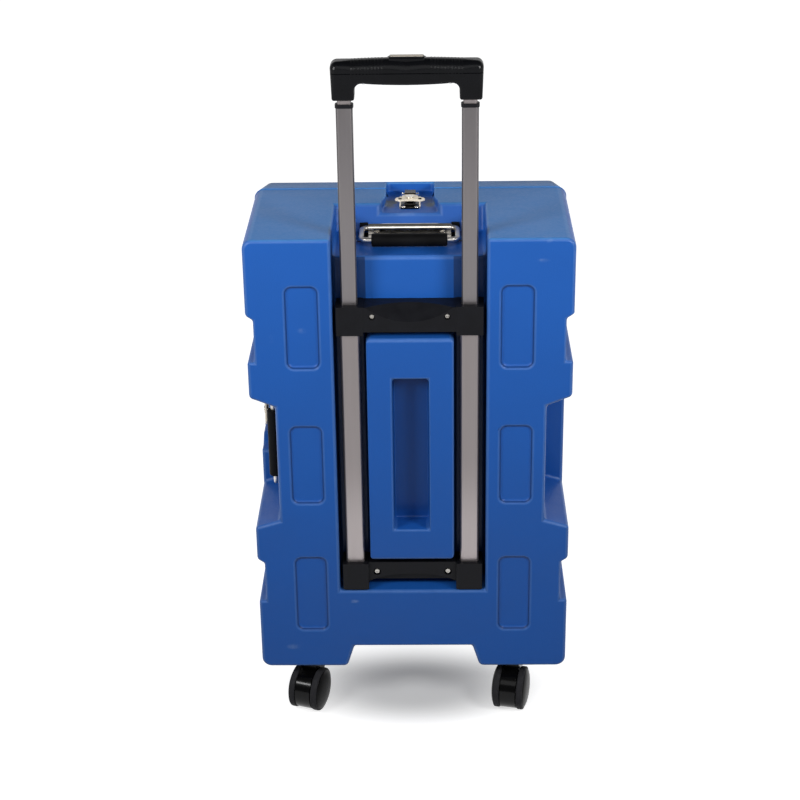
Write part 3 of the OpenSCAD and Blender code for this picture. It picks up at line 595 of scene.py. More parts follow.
SHELL_RUBS_AND_REFLECTIONS = (
    Rub((-0.0876, -0.1245, 0.193), (0.012, 0.01, 0.004), 0.4),
    Rub((-0.1474, -0.1245, 0.619), (0.010, 0.012, 0.006), 0.35),
    Rub((-0.189, -0.1245, 0.609), (0.006, 0.012, 0.008), 0.4),
    Rub((-0.177, -0.1245, 0.116), (0.014, 0.012, 0.006), 0.28),
    Rub((0.185, -0.122, 0.750), (0.010, 0.012, 0.006), 0.45),
    Rub((0.1815, -0.1245, 0.721), (0.010, 0.012, 0.004), 0.4),
    # Painted reflection: two grey spots on the floor of the catch dish.
    Rub((-0.028, 0.066, 0.740), (0.016, 0.024, 0.006), 1.8, DISH_REFLECTION_GREY),
    Rub((0.028, 0.066, 0.740), (0.016, 0.024, 0.006), 1.8, DISH_REFLECTION_GREY),
    Rub((0.0, 0.022, 0.740), (0.045, 0.006, 0.006), 0.45),
    Rub((-0.212, 0.066, 0.4165), (0.006, 0.022, 0.040), 0.5),
)
# Painted shade inside the trolley channels, the hand slot and the panel walls.
CHANNEL_SIDE = Recess((-0.0838, -0.0985, 0.430), (0.024, 0.0235, 0.222), (0.0015, 0.006, 0.015), -0.0835, 0.2)
CHANNEL_TOP = Recess((-0.0838, -0.0985, 0.692), (0.024, 0.0235, 0.055), (0.0015, 0.012, 0.02), -0.0835, 0.35)
HAND_SLOT = Recess((0.0, -0.0975, 0.436), (0.028, 0.0225, 0.119), (0.001, 0.022, 0.012), -0.0815, 0.42)
PANEL_WALLS = Recess((-0.1475, -0.1213, 0.41), (0.0275, 0.0019, 0.3), (0.001, 0.0017, 0.01), -0.119, 0.5)
SHELL = ShellFinish("moulded_shell_blue", Slot.SHELL, (0.010, 0.091, 0.385), 0.42, mottle=0.03,
                    rough_spread=0.05, specular=0.30, grain_scale=620.0, grain_depth=0.00016, rubs=SHELL_RUBS_AND_REFLECTIONS,
                    recesses=(*CHANNEL_SIDE.both(), *CHANNEL_TOP.both(), HAND_SLOT, *PANEL_WALLS.both()))
GASKET = Finish("seal_rubber", Slot.GASKET, (0.006, 0.006, 0.0065), 0.7, specular=0.2)
NICKEL = Finish("plated_nickel", Slot.NICKEL, (0.8, 0.76, 0.7), 0.15, 1.0, 0.05, 90.0, 0.05,
                grain_scale=500.0, grain_depth=0.00002)
WELL = WellFinish("channel_nickel", Slot.NICKEL, (0.78, 0.74, 0.68), 0.22, 1.0, 0.05, 90.0, 0.05,
                  grain_scale=500.0, grain_depth=0.00002)
# Painted shade: the catch hook's nickel is coloured nearly black for the shade that it lies in.
SHADED_NICKEL = replace(NICKEL, name="dull_nickel", colour=(0.09, 0.084, 0.075), roughness=0.3)
ROD = replace(NICKEL, name="rod_nickel", colour=(0.66, 0.63, 0.59), roughness=0.42)
SCREW = replace(NICKEL, name="screw_nickel", colour=(0.5, 0.48, 0.45), roughness=0.22)
# The handle plate's nickel, with a grey colour for its painted shade.
PLATE = replace(WELL, name="plate_nickel", colour=NICKEL.colour, roughness=NICKEL.roughness, fade=0.8 * MM,
                stain=(0.22, 0.215, 0.21))
CAST = replace(WELL, name="cast_nickel", colour=(0.82, 0.73, 0.58), roughness=0.34, metallic=0.3,
               mottle_scale=110.0, rough_spread=0.06, grain_depth=0.00003)
BRACKET = Finish("bracket_moulding", Slot.BRACKET, (0.005, 0.0052, 0.007), 0.42, grain_scale=1400.0,
                 grain_depth=0.00005, specular=0.13)
GRIP = Finish("grip_moulding", Slot.GRIP, (0.002, 0.0022, 0.003), 0.26, rough_spread=0.03, grain_scale=1500.0,
              grain_depth=0.00002, specular=0.13)
RUBBER = Finish("handle_rubber", Slot.RUBBER, (0.004, 0.004, 0.0046), 0.6, mottle=0.2, grain_scale=1100.0,
                grain_depth=0.0001, specular=0.09)
# The tubes' painted light and painted corner shade are set here through heights, gains and corner_share.
CHAMPAGNE = TubeFinish("champagne_anodising", Slot.CHAMPAGNE, (0.262, 0.236, 0.236), 0.36, 0.85, 0.1, 160.0,
                       0.07, grain_scale=700.0, grain_depth=0.00003, stretch=(1, 1, 0.012), corner_share=0.45,
                       heights=(0.3, 0.43), gains=(1.45, 0.93))
PEWTER = TubeFinish("pewter_anodising", Slot.PEWTER, (0.172, 0.16, 0.164), 0.36, 0.85, 0.12, 160.0, 0.07,
                    grain_scale=700.0, grain_depth=0.00003, stretch=(1, 1, 0.012), heights=(0.74, 1.0),
                    gains=(1.28, 0.72))
BUTTON = Finish("button_pad", Slot.BUTTON, (0.5, 0.45, 0.37), 0.45, mottle=0.06, specular=0.3)
GLOSS = Finish("castor_gloss", Slot.GLOSS, (0.002, 0.002, 0.0023), 0.2, mottle=0.15, rough_spread=0.03,
               grain_scale=300.0, grain_depth=0.00002, specular=0.12, coat=0.08)
CAP = replace(GLOSS, name="castor_cap", roughness=0.3, specular=0.06, coat=0.02)
TREAD = Finish("tread_rubber", Slot.TREAD, (0.024, 0.024, 0.027), 0.66, mottle=0.12, dust=0.05,
               grain_scale=800.0, grain_depth=0.0001, specular=0.12)
STEEL = Finish("zinc_steel", Slot.STEEL, (0.42, 0.42, 0.42), 0.34, 1.0, 0.14, 90.0, 0.1, grain_scale=400.0)


@lru_cache(maxsize=None)
def node_box(node: str) -> tuple[Vector, Vector]:
    """A CAD node's lowest and highest corners, looked up once."""
    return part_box(node)


def rounded_outline(corners: Iterable[tuple[float, float, float]], step: float = 12.0) -> list[Point]:
    """Rounds the corners of a closed outline.

    Args:
        corners: Corner points with their radii, in order, counter-clockwise.
        step: Largest turn between two points of an arc, in degrees.

    Returns:
        The outline's points.
    """
    items = list(corners)
    points: list[Point] = []
    for index, (x, y, radius) in enumerate(items):
        here = Vector((x, y))
        before = Vector(items[index - 1][:2]) - here
        after = Vector(items[(index + 1) % len(items)][:2]) - here
        if radius <= 0:
            points.append((x, y))
            continue
        first, last = before.normalized(), after.normalized()
        half = first.angle(last) / 2
        run = min(radius / math.tan(half), 0.49 * min(before.length, after.length))
        radius = run * math.tan(half)
        middle = here + (first + last).normalized() * (radius / math.sin(half))
        start, end = here + first * run - middle, here + last * run - middle
        turn = start.angle_signed(end)
        count = max(1, math.ceil(abs(math.degrees(turn)) / step))
        for part in range(count + 1):
            angle = -turn * part / count
            cos, sin = math.cos(angle), math.sin(angle)
            spoke = Vector((start.x * cos - start.y * sin, start.x * sin + start.y * cos))
            points.append(tuple(middle + spoke))
    return points


def rectangle(width: float, height: float, radius: float) -> list[Point]:
    """A rectangle round the origin with rounded corners."""
    x, y = width / 2, height / 2
    return rounded_outline([(-x, -y, radius), (x, -y, radius), (x, y, radius), (-x, y, radius)])


def soft_prism(outline: Sequence[Point], low: float, high: float,
               radius: Callable[[Point, bool], float], steps: int = 5) -> bmesh.types.BMesh:
    """Extrudes an outline along Z and rounds the edges of both ends.

    Args:
        outline: Points in the XY plane, counter-clockwise.
        low: Lower end.
        high: Upper end.
        radius: Edge radius at a point, for the upper end if its second argument is true.
        steps: Faces across each rounded edge.

    Returns:
        A closed mesh.
    """
    bm = bmesh.new()
    count = len(outline)
    outward = []
    for index in range(count):
        ahead = Vector(outline[(index + 1) % count]) - Vector(outline[index])
        behind = Vector(outline[index]) - Vector(outline[index - 1])
        along = ahead.normalized() + behind.normalized()
        along.normalize()
        outward.append(Vector((along.y, -along.x)))
    rings = []
    turns = [math.pi / 2 * step / steps for step in range(steps + 1)]
    for upper, angles in ((False, turns), (True, turns[::-1])):
        for angle in angles:
            ring = []
            for point, out in zip(outline, outward):
                size = radius(point, upper)
                flat = Vector(point) - out * size * (1 - math.sin(angle))
                lift = size * (1 - math.cos(angle))
                ring.append(bm.verts.new((flat.x, flat.y, high - lift if upper else low + lift)))
            rings.append(ring)
    for lower, upper in zip(rings, rings[1:]):
        for index in range(count):
            after = (index + 1) % count
            bm.faces.new((lower[index], lower[after], upper[after], upper[index]))
    bm.faces.new(rings[0][::-1])
    bm.faces.new(rings[-1])
    bmesh.ops.remove_doubles(bm, verts=bm.verts, dist=WELD)
    bmesh.ops.recalc_face_normals(bm, faces=bm.faces)
    return bm


def lathe(profile: Sequence[Point], segments: int = 64) -> bmesh.types.BMesh:
    """Turns a profile round the X axis.

    Args:
        profile: Points as (along X, radius), whose ends close on the axis or on each other.
        segments: Faces round the axis.

    Returns:
        A closed mesh.
    """
    bm = bmesh.new()
    rings = []
    for index in range(segments):
        angle = 2 * math.pi * index / segments
        cos, sin = math.cos(angle), math.sin(angle)
        rings.append([bm.verts.new((x, r * cos, r * sin)) for x, r in profile])
    for index, ring in enumerate(rings):
        after = rings[(index + 1) % segments]
        for step in range(len(profile)):
            near, far = step, (step + 1) % len(profile)
            if profile[near][1] <= 0 and profile[far][1] <= 0:
                continue
            bm.faces.new((ring[near], ring[far], after[far], after[near]))
    bmesh.ops.remove_doubles(bm, verts=bm.verts, dist=WELD)
    bmesh.ops.dissolve_degenerate(bm, edges=bm.edges, dist=WELD)
    bmesh.ops.recalc_face_normals(bm, faces=bm.faces)
    return bm


def merged_copy(node: str) -> bmesh.types.BMesh:
    """Copies a CAD node's mesh with its loose triangles merged into whole faces.

    Args:
        node: The node's name.

    Returns:
        The merged copy.
    """
    bm = bmesh.new()
    bm.from_mesh(bpy.data.objects[node].data)
    bmesh.ops.remove_doubles(bm, verts=bm.verts, dist=CAD_WELD)
    bmesh.ops.dissolve_limit(bm, angle_limit=math.radians(FLAT_ANGLE), verts=bm.verts, edges=bm.edges)
    return bm


def joined(parts: Iterable[bmesh.types.BMesh]) -> bmesh.types.BMesh:
    """Joins meshes into one.

    Args:
        parts: The meshes, which are freed.

    Returns:
        One mesh of them all.
    """
    whole = bmesh.new()
    mesh = bpy.data.meshes.new("joined")
    for bm in parts:
        bm.to_mesh(mesh)
        bm.free()
        whole.from_mesh(mesh)
    bpy.data.meshes.remove(mesh)
    return whole


def keep_side(bm: bmesh.types.BMesh, point: Sequence[float],
              normal: Sequence[float]) -> list[bmesh.types.BMEdge]:
    """Cuts a closed mesh by a plane, keeps the side that the normal points to, and closes the cut.

    Args:
        bm: The mesh.
        point: A point of the plane.
        normal: The plane's normal.

    Returns:
        The edges round the cut.
    """
    parts = bm.verts[:] + bm.edges[:] + bm.faces[:]
    cut = bmesh.ops.bisect_plane(bm, geom=parts, plane_co=point, plane_no=normal, clear_inner=True)
    rim = [item for item in cut["geom_cut"] if isinstance(item, bmesh.types.BMEdge)]
    bmesh.ops.edgeloop_fill(bm, edges=rim)
    return rim


def stand_up(bm: bmesh.types.BMesh) -> None:
    """Swaps a mesh's Y and Z, so that an outline of X and Y stands upright."""
    for vert in bm.verts:
        vert.co = (vert.co.x, vert.co.z, vert.co.y)
    bmesh.ops.recalc_face_normals(bm, faces=bm.faces)


def add_block(bm: bmesh.types.BMesh, middle: Sequence[float], size: Sequence[float]) -> None:
    """Adds a block to a mesh of cutters, by its middle and its sizes."""
    place = Matrix.Translation(middle) @ Matrix.Diagonal((*size, 1))
    bmesh.ops.create_cube(bm, size=1.0, matrix=place)


def add_bore(bm: bmesh.types.BMesh, radius: float, depth: float, place: Matrix, segments: int) -> None:
    """Adds a bore to a mesh of cutters, by its radius, its depth along its own Z, and its place."""
    bmesh.ops.create_cone(bm, cap_ends=True, segments=segments, radius1=radius, radius2=radius, depth=depth,
                          matrix=place)


def end_rounds(upper: float, lower: float) -> Callable[[Point, bool], float]:
    """A prism's edge radii: one for its upper end and one for its lower end."""
    return lambda point, top: upper if top else lower


def soften(bm: bmesh.types.BMesh, edges: Iterable[bmesh.types.BMEdge], width: float, segments: int) -> None:
    """Rounds edges of a mesh.

    Args:
        bm: The mesh.
        edges: Edges to round.
        width: Radius of the rounding.
        segments: Faces across it.
    """
    bmesh.ops.bevel(bm, geom=list(edges), offset=width, offset_type="OFFSET", segments=segments,
                    profile=0.5, affect="EDGES", clamp_overlap=True)


def sharp_edges(bm: bmesh.types.BMesh, limit: float = EDGE_ANGLE) -> list[bmesh.types.BMEdge]:
    """The edges where two faces meet at more than a limit in degrees."""
    least = math.radians(limit)
    return [e for e in bm.edges if len(e.link_faces) == 2 and e.calc_face_angle(0.0) > least]


def new_object(name: str, bm: bmesh.types.BMesh, finish: Finish) -> bpy.types.Object:
    """Makes an object from a mesh and links it into the scene.

    Args:
        name: The object's name.
        bm: Its mesh, which is freed.
        finish: Its finish.

    Returns:
        The new object.
    """
    mesh = bpy.data.meshes.new(name)
    bm.to_mesh(mesh)
    bm.free()
    mesh.materials.append(finish.material())
    obj = bpy.data.objects.new(name, mesh)
    bpy.context.scene.collection.objects.link(obj)
    return obj


def bake_modifiers(obj: bpy.types.Object) -> None:
    """Turns an object's modified shape into its plain mesh.

    Args:
        obj: The object, whose modifiers are removed.
    """
    bpy.context.view_layer.update()
    graph = bpy.context.evaluated_depsgraph_get()
    mesh = bpy.data.meshes.new_from_object(obj.evaluated_get(graph), preserve_all_data_layers=True,
                                           depsgraph=graph)
    old = obj.data
    obj.modifiers.clear()
    obj.data = mesh
    bpy.data.meshes.remove(old)
    mesh.name = obj.name


def discard(obj: bpy.types.Object) -> None:
    """Removes a helper object and its mesh."""
    mesh = obj.data
    bpy.data.objects.remove(obj)
    bpy.data.meshes.remove(mesh)


def cut_out(obj: bpy.types.Object, cutters: bmesh.types.BMesh) -> None:
    """Cuts closed shapes out of a piece.

    Args:
        obj: The piece.
        cutters: Closed shapes in the same frame, freed afterwards.
    """
    cutter = new_object(obj.name + "_cutter", cutters, BRACKET)
    modifier = obj.modifiers.new("cut", "BOOLEAN")
    modifier.operation = "DIFFERENCE"
    modifier.solver = "EXACT"
    modifier.object = cutter
    bake_modifiers(obj)
    discard(cutter)


def settle(obj: bpy.types.Object, sharp: float = SHARP_ANGLE) -> None:
    """Smooths a piece, keeps its sharp edges and weights its normals by face size.

    Args:
        obj: The piece.
        sharp: Angle above which an edge stays sharp, in degrees.
    """
    mesh = obj.data
    mesh.polygons.foreach_set("use_smooth", [True] * len(mesh.polygons))
    mesh.set_sharp_from_angle(angle=math.radians(sharp))
    modifier = obj.modifiers.new("normals", "WEIGHTED_NORMAL")
    modifier.keep_sharp = True
    modifier.weight = NORMAL_WEIGHT
    bake_modifiers(obj)


def hand_over(obj: bpy.types.Object, body: str, finish: Finish, nodes: Sequence[str] = ()) -> None:
    """Gives a finished piece to its body, in place of the CAD nodes that it stands for.

    Args:
        obj: The piece.
        body: The CAD body that carries it.
        finish: Its finish; not used.
        nodes: CAD nodes that it replaces.
    """
    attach(obj, body)
    if nodes:
        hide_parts(*nodes)
    log.info("%s: %d faces on %s", obj.name, len(obj.data.polygons), body)


def dress(nodes: Iterable[str], finish: Finish) -> None:
    """Gives CAD nodes that stay on show their finish.

    Args:
        nodes: The nodes' names.
        finish: Their finish.
    """
    for name in nodes:
        obj = bpy.data.objects[name]
        if not obj.material_slots:
            obj.data.materials.append(finish.material())
        for item in obj.material_slots:
            item.material = finish.material()
        log.info("%s: CAD node in %s", name, finish.name)


def softened_node(node: str, body: str, finish: Finish, width: float, segments: int = 2,
                  limit: float = EDGE_ANGLE) -> None:
    """Stands a copy of a CAD node with rounded edges in its place.

    Args:
        node: The node's name.
        body: The body that it rides on.
        finish: Its finish.
        width: Radius of the edges.
        segments: Faces across an edge.
        limit: Angle above which an edge is rounded, in degrees.
    """
    bm = merged_copy(node)
    soften(bm, sharp_edges(bm, limit), width, segments)
    obj = new_object(node + "_soft", bm, finish)
    settle(obj)
    hand_over(obj, body, finish, (node,))


def geometry_tree(name: str, inputs: dict[str, str],
                  output: str) -> tuple[bpy.types.NodeTree, dict[str, str]]:
    """Starts a geometry node tree.

    Args:
        name: The tree's name.
        inputs: Its inputs' names, with the kinds of their sockets.
        output: The name of its geometry output.

    Returns:
        The tree, and the inputs' names with the keys that a modifier knows them by.
    """
    tree = bpy.data.node_groups.new(name, "GeometryNodeTree")
    keys = {}
    for title, kind in inputs.items():
        socket = tree.interface.new_socket(title, in_out="INPUT", socket_type="NodeSocket" + kind)
        keys[title] = socket.identifier
    tree.interface.new_socket(output, in_out="OUTPUT", socket_type="NodeSocketGeometry")
    return tree, keys


class Fasteners:
    """A node tree that sets a head on each point of a mesh, turned to face outwards."""

    def __init__(self, name: str) -> None:
        """Builds the tree.

        Args:
            name: The tree's name.
        """
        inputs = {"Points": "Geometry", "Head": "Object", "Finish": "Material"}
        self.tree, self.keys = geometry_tree(name, inputs, "Heads")
        tree = self.tree
        add, join = tree.nodes.new, tree.links.new
        source, sink = add("NodeGroupInput"), add("NodeGroupOutput")
        shape = add("GeometryNodeObjectInfo")
        facing = add("GeometryNodeInputNamedAttribute")
        facing.data_type = "FLOAT_VECTOR"
        facing.inputs["Name"].default_value = FACING_LAYER
        turn = add("FunctionNodeAlignRotationToVector")
        turn.axis = "Z"
        spread = add("GeometryNodeInstanceOnPoints")
        real = add("GeometryNodeRealizeInstances")
        paint = add("GeometryNodeSetMaterial")
        join(source.outputs["Points"], spread.inputs["Points"])
        join(source.outputs["Head"], shape.inputs["Object"])
        join(shape.outputs["Geometry"], spread.inputs["Instance"])
        join(facing.outputs["Attribute"], turn.inputs["Vector"])
        join(turn.outputs["Rotation"], spread.inputs["Rotation"])
        join(spread.outputs["Instances"], real.inputs["Geometry"])
        join(real.outputs["Geometry"], paint.inputs["Geometry"])
        join(source.outputs["Finish"], paint.inputs["Material"])
        join(paint.outputs["Geometry"], sink.inputs["Heads"])

    def spread(self, node: str, body: str, finish: Finish, kind: Fastener,
               settled: Callable[[Vector], Vector] = Vector) -> None:
        """Stands heads in place of a CAD node of fasteners.

        Args:
            node: The node, one solid for each fastener.
            body: The body that carries it.
            finish: The fasteners' finish.
            kind: The fastener that each of them is.
            settled: Gives the place in the scene of a fastener's place in the node.
        """
        places = [(settled(seat), outward) for seat, outward in fastener_places(node)]
        points = bmesh.new()
        layer = points.verts.layers.float_vector.new(FACING_LAYER)
        for seat, outward in places:
            points.verts.new(seat)[layer] = outward
        shape = new_object(node + "_head", kind.mesh(), finish)
        settle(shape, ROUND_ANGLE)
        obj = new_object(node + "_set", points, finish)
        modifier = obj.modifiers.new("heads", "NODES")
        modifier.node_group = self.tree
        modifier[self.keys["Head"]] = shape
        modifier[self.keys["Finish"]] = finish.material()
        bake_modifiers(obj)
        discard(shape)
        hand_over(obj, body, finish, (node,))


def fastener_places(node: str) -> list[tuple[Vector, Vector]]:
    """Finds the fasteners in a CAD node of several solids.

    Args:
        node: The node's name.

    Returns:
        For each solid the top of its head and the direction that it faces.
    """
    bm = merged_copy(node)
    bm.verts.ensure_lookup_table()
    left = set(bm.verts)
    places = []
    while left:
        group, queue = set(), [left.pop()]
        while queue:
            vert = queue.pop()
            group.add(vert)
            for edge in vert.link_edges:
                other = edge.other_vert(vert)
                if other in left:
                    left.discard(other)
                    queue.append(other)
        spots = [v.co.copy() for v in group]
        low = Vector([min(p[i] for p in spots) for i in range(3)])
        high = Vector([max(p[i] for p in spots) for i in range(3)])
        size, middle = high - low, (low + high) / 2
        axis = max(range(3), key=lambda i: size[i])
        ends = {}
        for sign, level in ((-1, low[axis]), (1, high[axis])):
            near = [p for p in spots if abs(p[axis] - level) < HEAD_SLACK]
            across = [[(p - middle)[i] for i in range(3) if i != axis] for p in near]
            ends[sign] = max(math.hypot(*pair) for pair in across)
        sign = max(ends, key=lambda key: ends[key])
        outward = Vector([sign if i == axis else 0 for i in range(3)])
        seat = middle.copy()
        seat[axis] = high[axis] if sign > 0 else low[axis]
        places.append((seat, outward))
    bm.free()
    return sorted(places, key=lambda item: tuple(item[0]))


@dataclass(frozen=True)
class Fastener:
    """A rivet or screw: its sizes in metres, and its head's form as shares of them."""

    drive: Drive
    radius: float
    thickness: float
    shank: float
    length: float
    ring: int = 24
    rise: tuple[Point, ...] = ((1.0, 1.0), (0.98, 0.55), (0.9, 0.28), (0.76, 0.1))
    dome: Point = (0.45, 0.02)
    arm: float = 0.56
    arm_half: float = 0.12
    mouth: float = 0.04
    depth: float = 0.55
    taper: float = 0.62

    def mesh(self) -> bmesh.types.BMesh:
        """Makes one fastener, with the top of its head at the origin.

        Returns:
            A closed mesh, facing along Z.
        """
        ring, radius, thickness = self.ring, self.radius, self.thickness
        bm = bmesh.new()

        def circle(size: float, height: float) -> list[bmesh.types.BMVert]:
            """A ring of points at a height."""
            turns = [2 * math.pi * index / ring for index in range(ring)]
            return [bm.verts.new((size * math.cos(turn), size * math.sin(turn), height)) for turn in turns]

        rings = [circle(self.shank, -thickness - self.length), circle(self.shank, -thickness)]
        rings += [circle(radius * r, -thickness * t) for r, t in self.rise]
        if self.drive is Drive.DOME:
            rings.append(circle(radius * self.dome[0], -thickness * self.dome[1]))
            bm.faces.new(rings[-1])
        for lower, upper in zip(rings, rings[1:]):
            for i in range(ring):
                bm.faces.new((lower[i], lower[(i + 1) % ring], upper[(i + 1) % ring], upper[i]))
        bm.faces.new(rings[0][::-1])
        if self.drive is Drive.CROSS:
            arm, wide, deep = self.arm * radius, self.arm_half * radius, self.depth * thickness
            turn = []
            for quarter in range(4):
                c, s = math.cos(math.pi / 2 * quarter), math.sin(math.pi / 2 * quarter)
                for x, y in ((wide, -wide), (arm, -wide), (arm, wide)):
                    turn.append((x * c - y * s, x * s + y * c))
            mouth = [bm.verts.new((x, y, -thickness * self.mouth)) for x, y in turn]
            foot = [bm.verts.new((x * self.taper, y * self.taper, -deep)) for x, y in turn]
            edges = []
            for i, vert in enumerate(mouth):
                after = (i + 1) % len(mouth)
                edges.append(bm.edges.new((vert, mouth[after])))
                bm.faces.new((vert, mouth[after], foot[after], foot[i]))
            bm.faces.new(foot)
            top = [bm.edges.get((rings[-1][i], rings[-1][(i + 1) % ring])) for i in range(ring)]
            bmesh.ops.bridge_loops(bm, edges=top + edges)
        bmesh.ops.recalc_face_normals(bm, faces=bm.faces)
        return bm


RIVET = Fastener(Drive.DOME, 3.4 * MM, 1.3 * MM, 1.6 * MM, 6.4 * MM)
BRACKET_SCREW = Fastener(Drive.CROSS, 4.3 * MM, 3.0 * MM, 2.2 * MM, 28.0 * MM)
CASTOR_SCREW = Fastener(Drive.CROSS, 4.2 * MM, 2.0 * MM, 2.4 * MM, 7.4 * MM)
GRIP_SCREW = Fastener(Drive.CROSS, 2.8 * MM, 2.0 * MM, 1.6 * MM, 12.0 * MM)


@dataclass(frozen=True)
class EdgeZone:
    """A part of the case, in its own millimetres, whose moulded edges have a radius of their own."""

    x: Point
    depth: Point
    rise: Point
    radius: float
    along: int | None = None
    mirrored: bool = True

    def holds(self, middle: Vector, direction: Vector) -> bool:
        """Tells if an edge belongs to the zone.

        Args:
            middle: The edge's middle in millimetres from the trolley face and the bottom of the case.
            direction: Its direction, of length 1.

        Returns:
            True if its middle is inside and it runs the zone's way.
        """
        x = abs(middle.x) if self.mirrored else middle.x
        spans = ((x, self.x), (middle.y, self.depth), (middle.z, self.rise))
        inside = all(low <= value <= high for value, (low, high) in spans)
        return inside and (self.along is None or abs(direction[self.along]) > 0.8)


EDGE_ZONES = (
    EdgeZone((122, 173), (-1, 6), (50, 620), 2.6),
    EdgeZone((40, 48), (140, 156), (650, 674), 8.0, 2),
    EdgeZone((30, 36), (240, 248), (650, 674), 6.5, 2),
    EdgeZone((30, 48), (160, 190), (650, 674), 5.0, 2),
    EdgeZone((0, 47), (140, 150), (650, 662), 5.0, 0),
    EdgeZone((0, 47), (150, 248), (668, 674), 2.6),
    EdgeZone((0, 47), (140, 248), (650, 668), 3.5),
    EdgeZone((-228, -210), (140, 156), (285, 385), 6.0, 0, False),
    EdgeZone((-228, -210), (240, 248), (285, 385), 6.5, 0, False),
    EdgeZone((-228, -210), (160, 190), (285, 385), 5.0, 0, False),
    EdgeZone((-228, -223), (150, 248), (285, 385), 2.6, None, False),
    EdgeZone((-214, -210), (140, 248), (285, 385), 3.5, None, False),
    EdgeZone((0, 26), (-1, 41), (229, 467), 6.0, 1),
    EdgeZone((0, 26), (-1, 41), (229, 467), 3.2),
    EdgeZone((213, 226), (-1, 146), (111, 184), 3.6),
    EdgeZone((213, 226), (-1, 146), (491, 563), 3.6),
    EdgeZone((55, 62), (-1, 40), (178, 528), 7.0, 1),
)


@dataclass
class CaseShell:
    """The two moulded shells with the edges that moulding gives them."""

    edge_round: float = 5.0
    edge_limit: float = 25.0
    lid_round: float = 3.0
    lid_limit: float = 62.0
    seam_round: float = 1.2 * MM
    rim_slack: float = 0.01 * MM
    seam_slack: float = 0.001 * MM
    hole_edge: float = 1.25 * MM
    hole_area: float = 2e-5
    panel_depth: float = 5.0 * MM
    panel_span: Point = (0.122, 0.173)
    panel_draw: float = 3.2 * MM
    segments: int = 4
    corner_cut: float = 15.0 * MM
    corner_height: Point = (26.0 * MM, 6.0 * MM)
    corner_width: Point = (0.18, 0.21)
    mouth_sides: Point = (0.038, 0.052)
    mouth_low: float = 0.73
    mouth_share: float = 0.87

    def build(self) -> None:
        """Makes both shells and the seal between them."""
        self.shell("body_shell", "case", -1.0, self.edge_limit, self.edge_round)
        self.shell("lid_shell", "lid", 1.0, self.lid_limit, self.lid_round)
        dress(("lid_gasket",), GASKET)

    def skin(self, bm: bmesh.types.BMesh, facing: float, rim: float) -> set[bmesh.types.BMFace]:
        """Finds the outer faces of a shell.

        Args:
            bm: The shell's mesh.
            facing: Sign of Y that its broad outer face looks along.
            rim: The Y of its rim.

        Returns:
            All faces reached from the broad face without crossing the rim or a fastener's hole.
        """
        def shut(face: bmesh.types.BMFace) -> bool:
            """True for faces of the rim and of small holes."""
            if abs(face.calc_center_median().y - rim) < self.rim_slack and -facing * face.normal.y > 0.9:
                return True
            small = face.calc_area() < self.hole_area
            return small and min(e.calc_length() for e in face.edges) < self.hole_edge

        broad = [f for f in bm.faces if f.normal.y * facing > 0.99]
        seed = max(broad, key=lambda f: f.calc_area())
        found, queue = {seed}, [seed]
        while queue:
            for edge in queue.pop().edges:
                for face in edge.link_faces:
                    if face not in found and not shut(face):
                        found.add(face)
                        queue.append(face)
        return found

    def slope_panels(self, bm: bmesh.types.BMesh, front: float) -> None:
        """Draws the floors of the shallow panels in, so that their walls slope.

        Args:
            bm: The body's mesh.
            front: The Y of its trolley face.
        """
        level, (near, far) = front + self.panel_depth, self.panel_span
        for face in bm.faces:
            middle = face.calc_center_median()
            if face.normal.y > -0.99 or abs(middle.y - level) > 0.5 * MM or not near < abs(middle.x) < far:
                continue
            spots = [loop.vert.co.copy() for loop in face.loops]
            for index, loop in enumerate(face.loops):
                ahead = (spots[(index + 1) % len(spots)] - spots[index]).normalized()
                along = (ahead + (spots[index] - spots[index - 1]).normalized()).normalized()
                inward = face.normal.cross(along)
                loop.vert.co = spots[index] + inward * (self.panel_draw / max(0.5, along.dot(ahead)))

    def shell(self, node: str, body: str, facing: float, limit: float, usual: float) -> None:
        """Makes one shell with rounded edges.

        Args:
            node: Its CAD node.
            body: Its body.
            facing: Sign of Y that its broad outer face looks along.
            limit: Angle above which an edge is rounded, in degrees.
            usual: Radius of the edges outside the zones, in millimetres.
        """
        low, high = node_box(node)
        base = node_box("body_shell")[0]
        rim = high.y if facing < 0 else low.y
        bm = merged_copy(node)
        weights = bm.edges.layers.float.new("bevel_weight_edge")
        outer = self.skin(bm, facing, rim)
        if facing < 0:
            self.slope_panels(bm, low.y)
            self.narrow_mouth(bm)
        radii = {}
        for edge in sharp_edges(bm, limit):
            if all(face in outer for face in edge.link_faces):
                first, last = (v.co for v in edge.verts)
                middle = ((first + last) / 2 - Vector((0, base.y, base.z))) / MM
                way = (last - first).normalized()
                zone = next((z for z in EDGE_ZONES if z.holds(middle, way)), None)
                radii[edge] = (zone.radius if zone else usual) * MM
        widest = max(radii.values())
        for edge, radius in radii.items():
            edge[weights] = radius / widest
        obj = new_object(node + "_moulding", bm, SHELL)
        modifier = obj.modifiers.new("edges", "BEVEL")
        modifier.limit_method = "WEIGHT"
        modifier.width = widest
        modifier.segments = self.segments
        modifier.use_clamp_overlap = False
        bake_modifiers(obj)
        bm = bmesh.new()
        bm.from_mesh(obj.data)
        outer = self.skin(bm, facing, rim)
        lip = [e for e in sharp_edges(bm, ROUND_ANGLE)
               if sum(f in outer for f in e.link_faces) == 1
               and all(abs(v.co.y - rim) < self.seam_slack for v in e.verts)]
        soften(bm, lip, self.seam_round, 2)
        self.mark_edges(bm)
        if facing > 0:
            self.cut_corners(bm, low, high)
        bm.to_mesh(obj.data)
        bm.free()
        settle(obj, max(SHARP_ANGLE, limit + 1))
        hand_over(obj, body, SHELL, (node,))

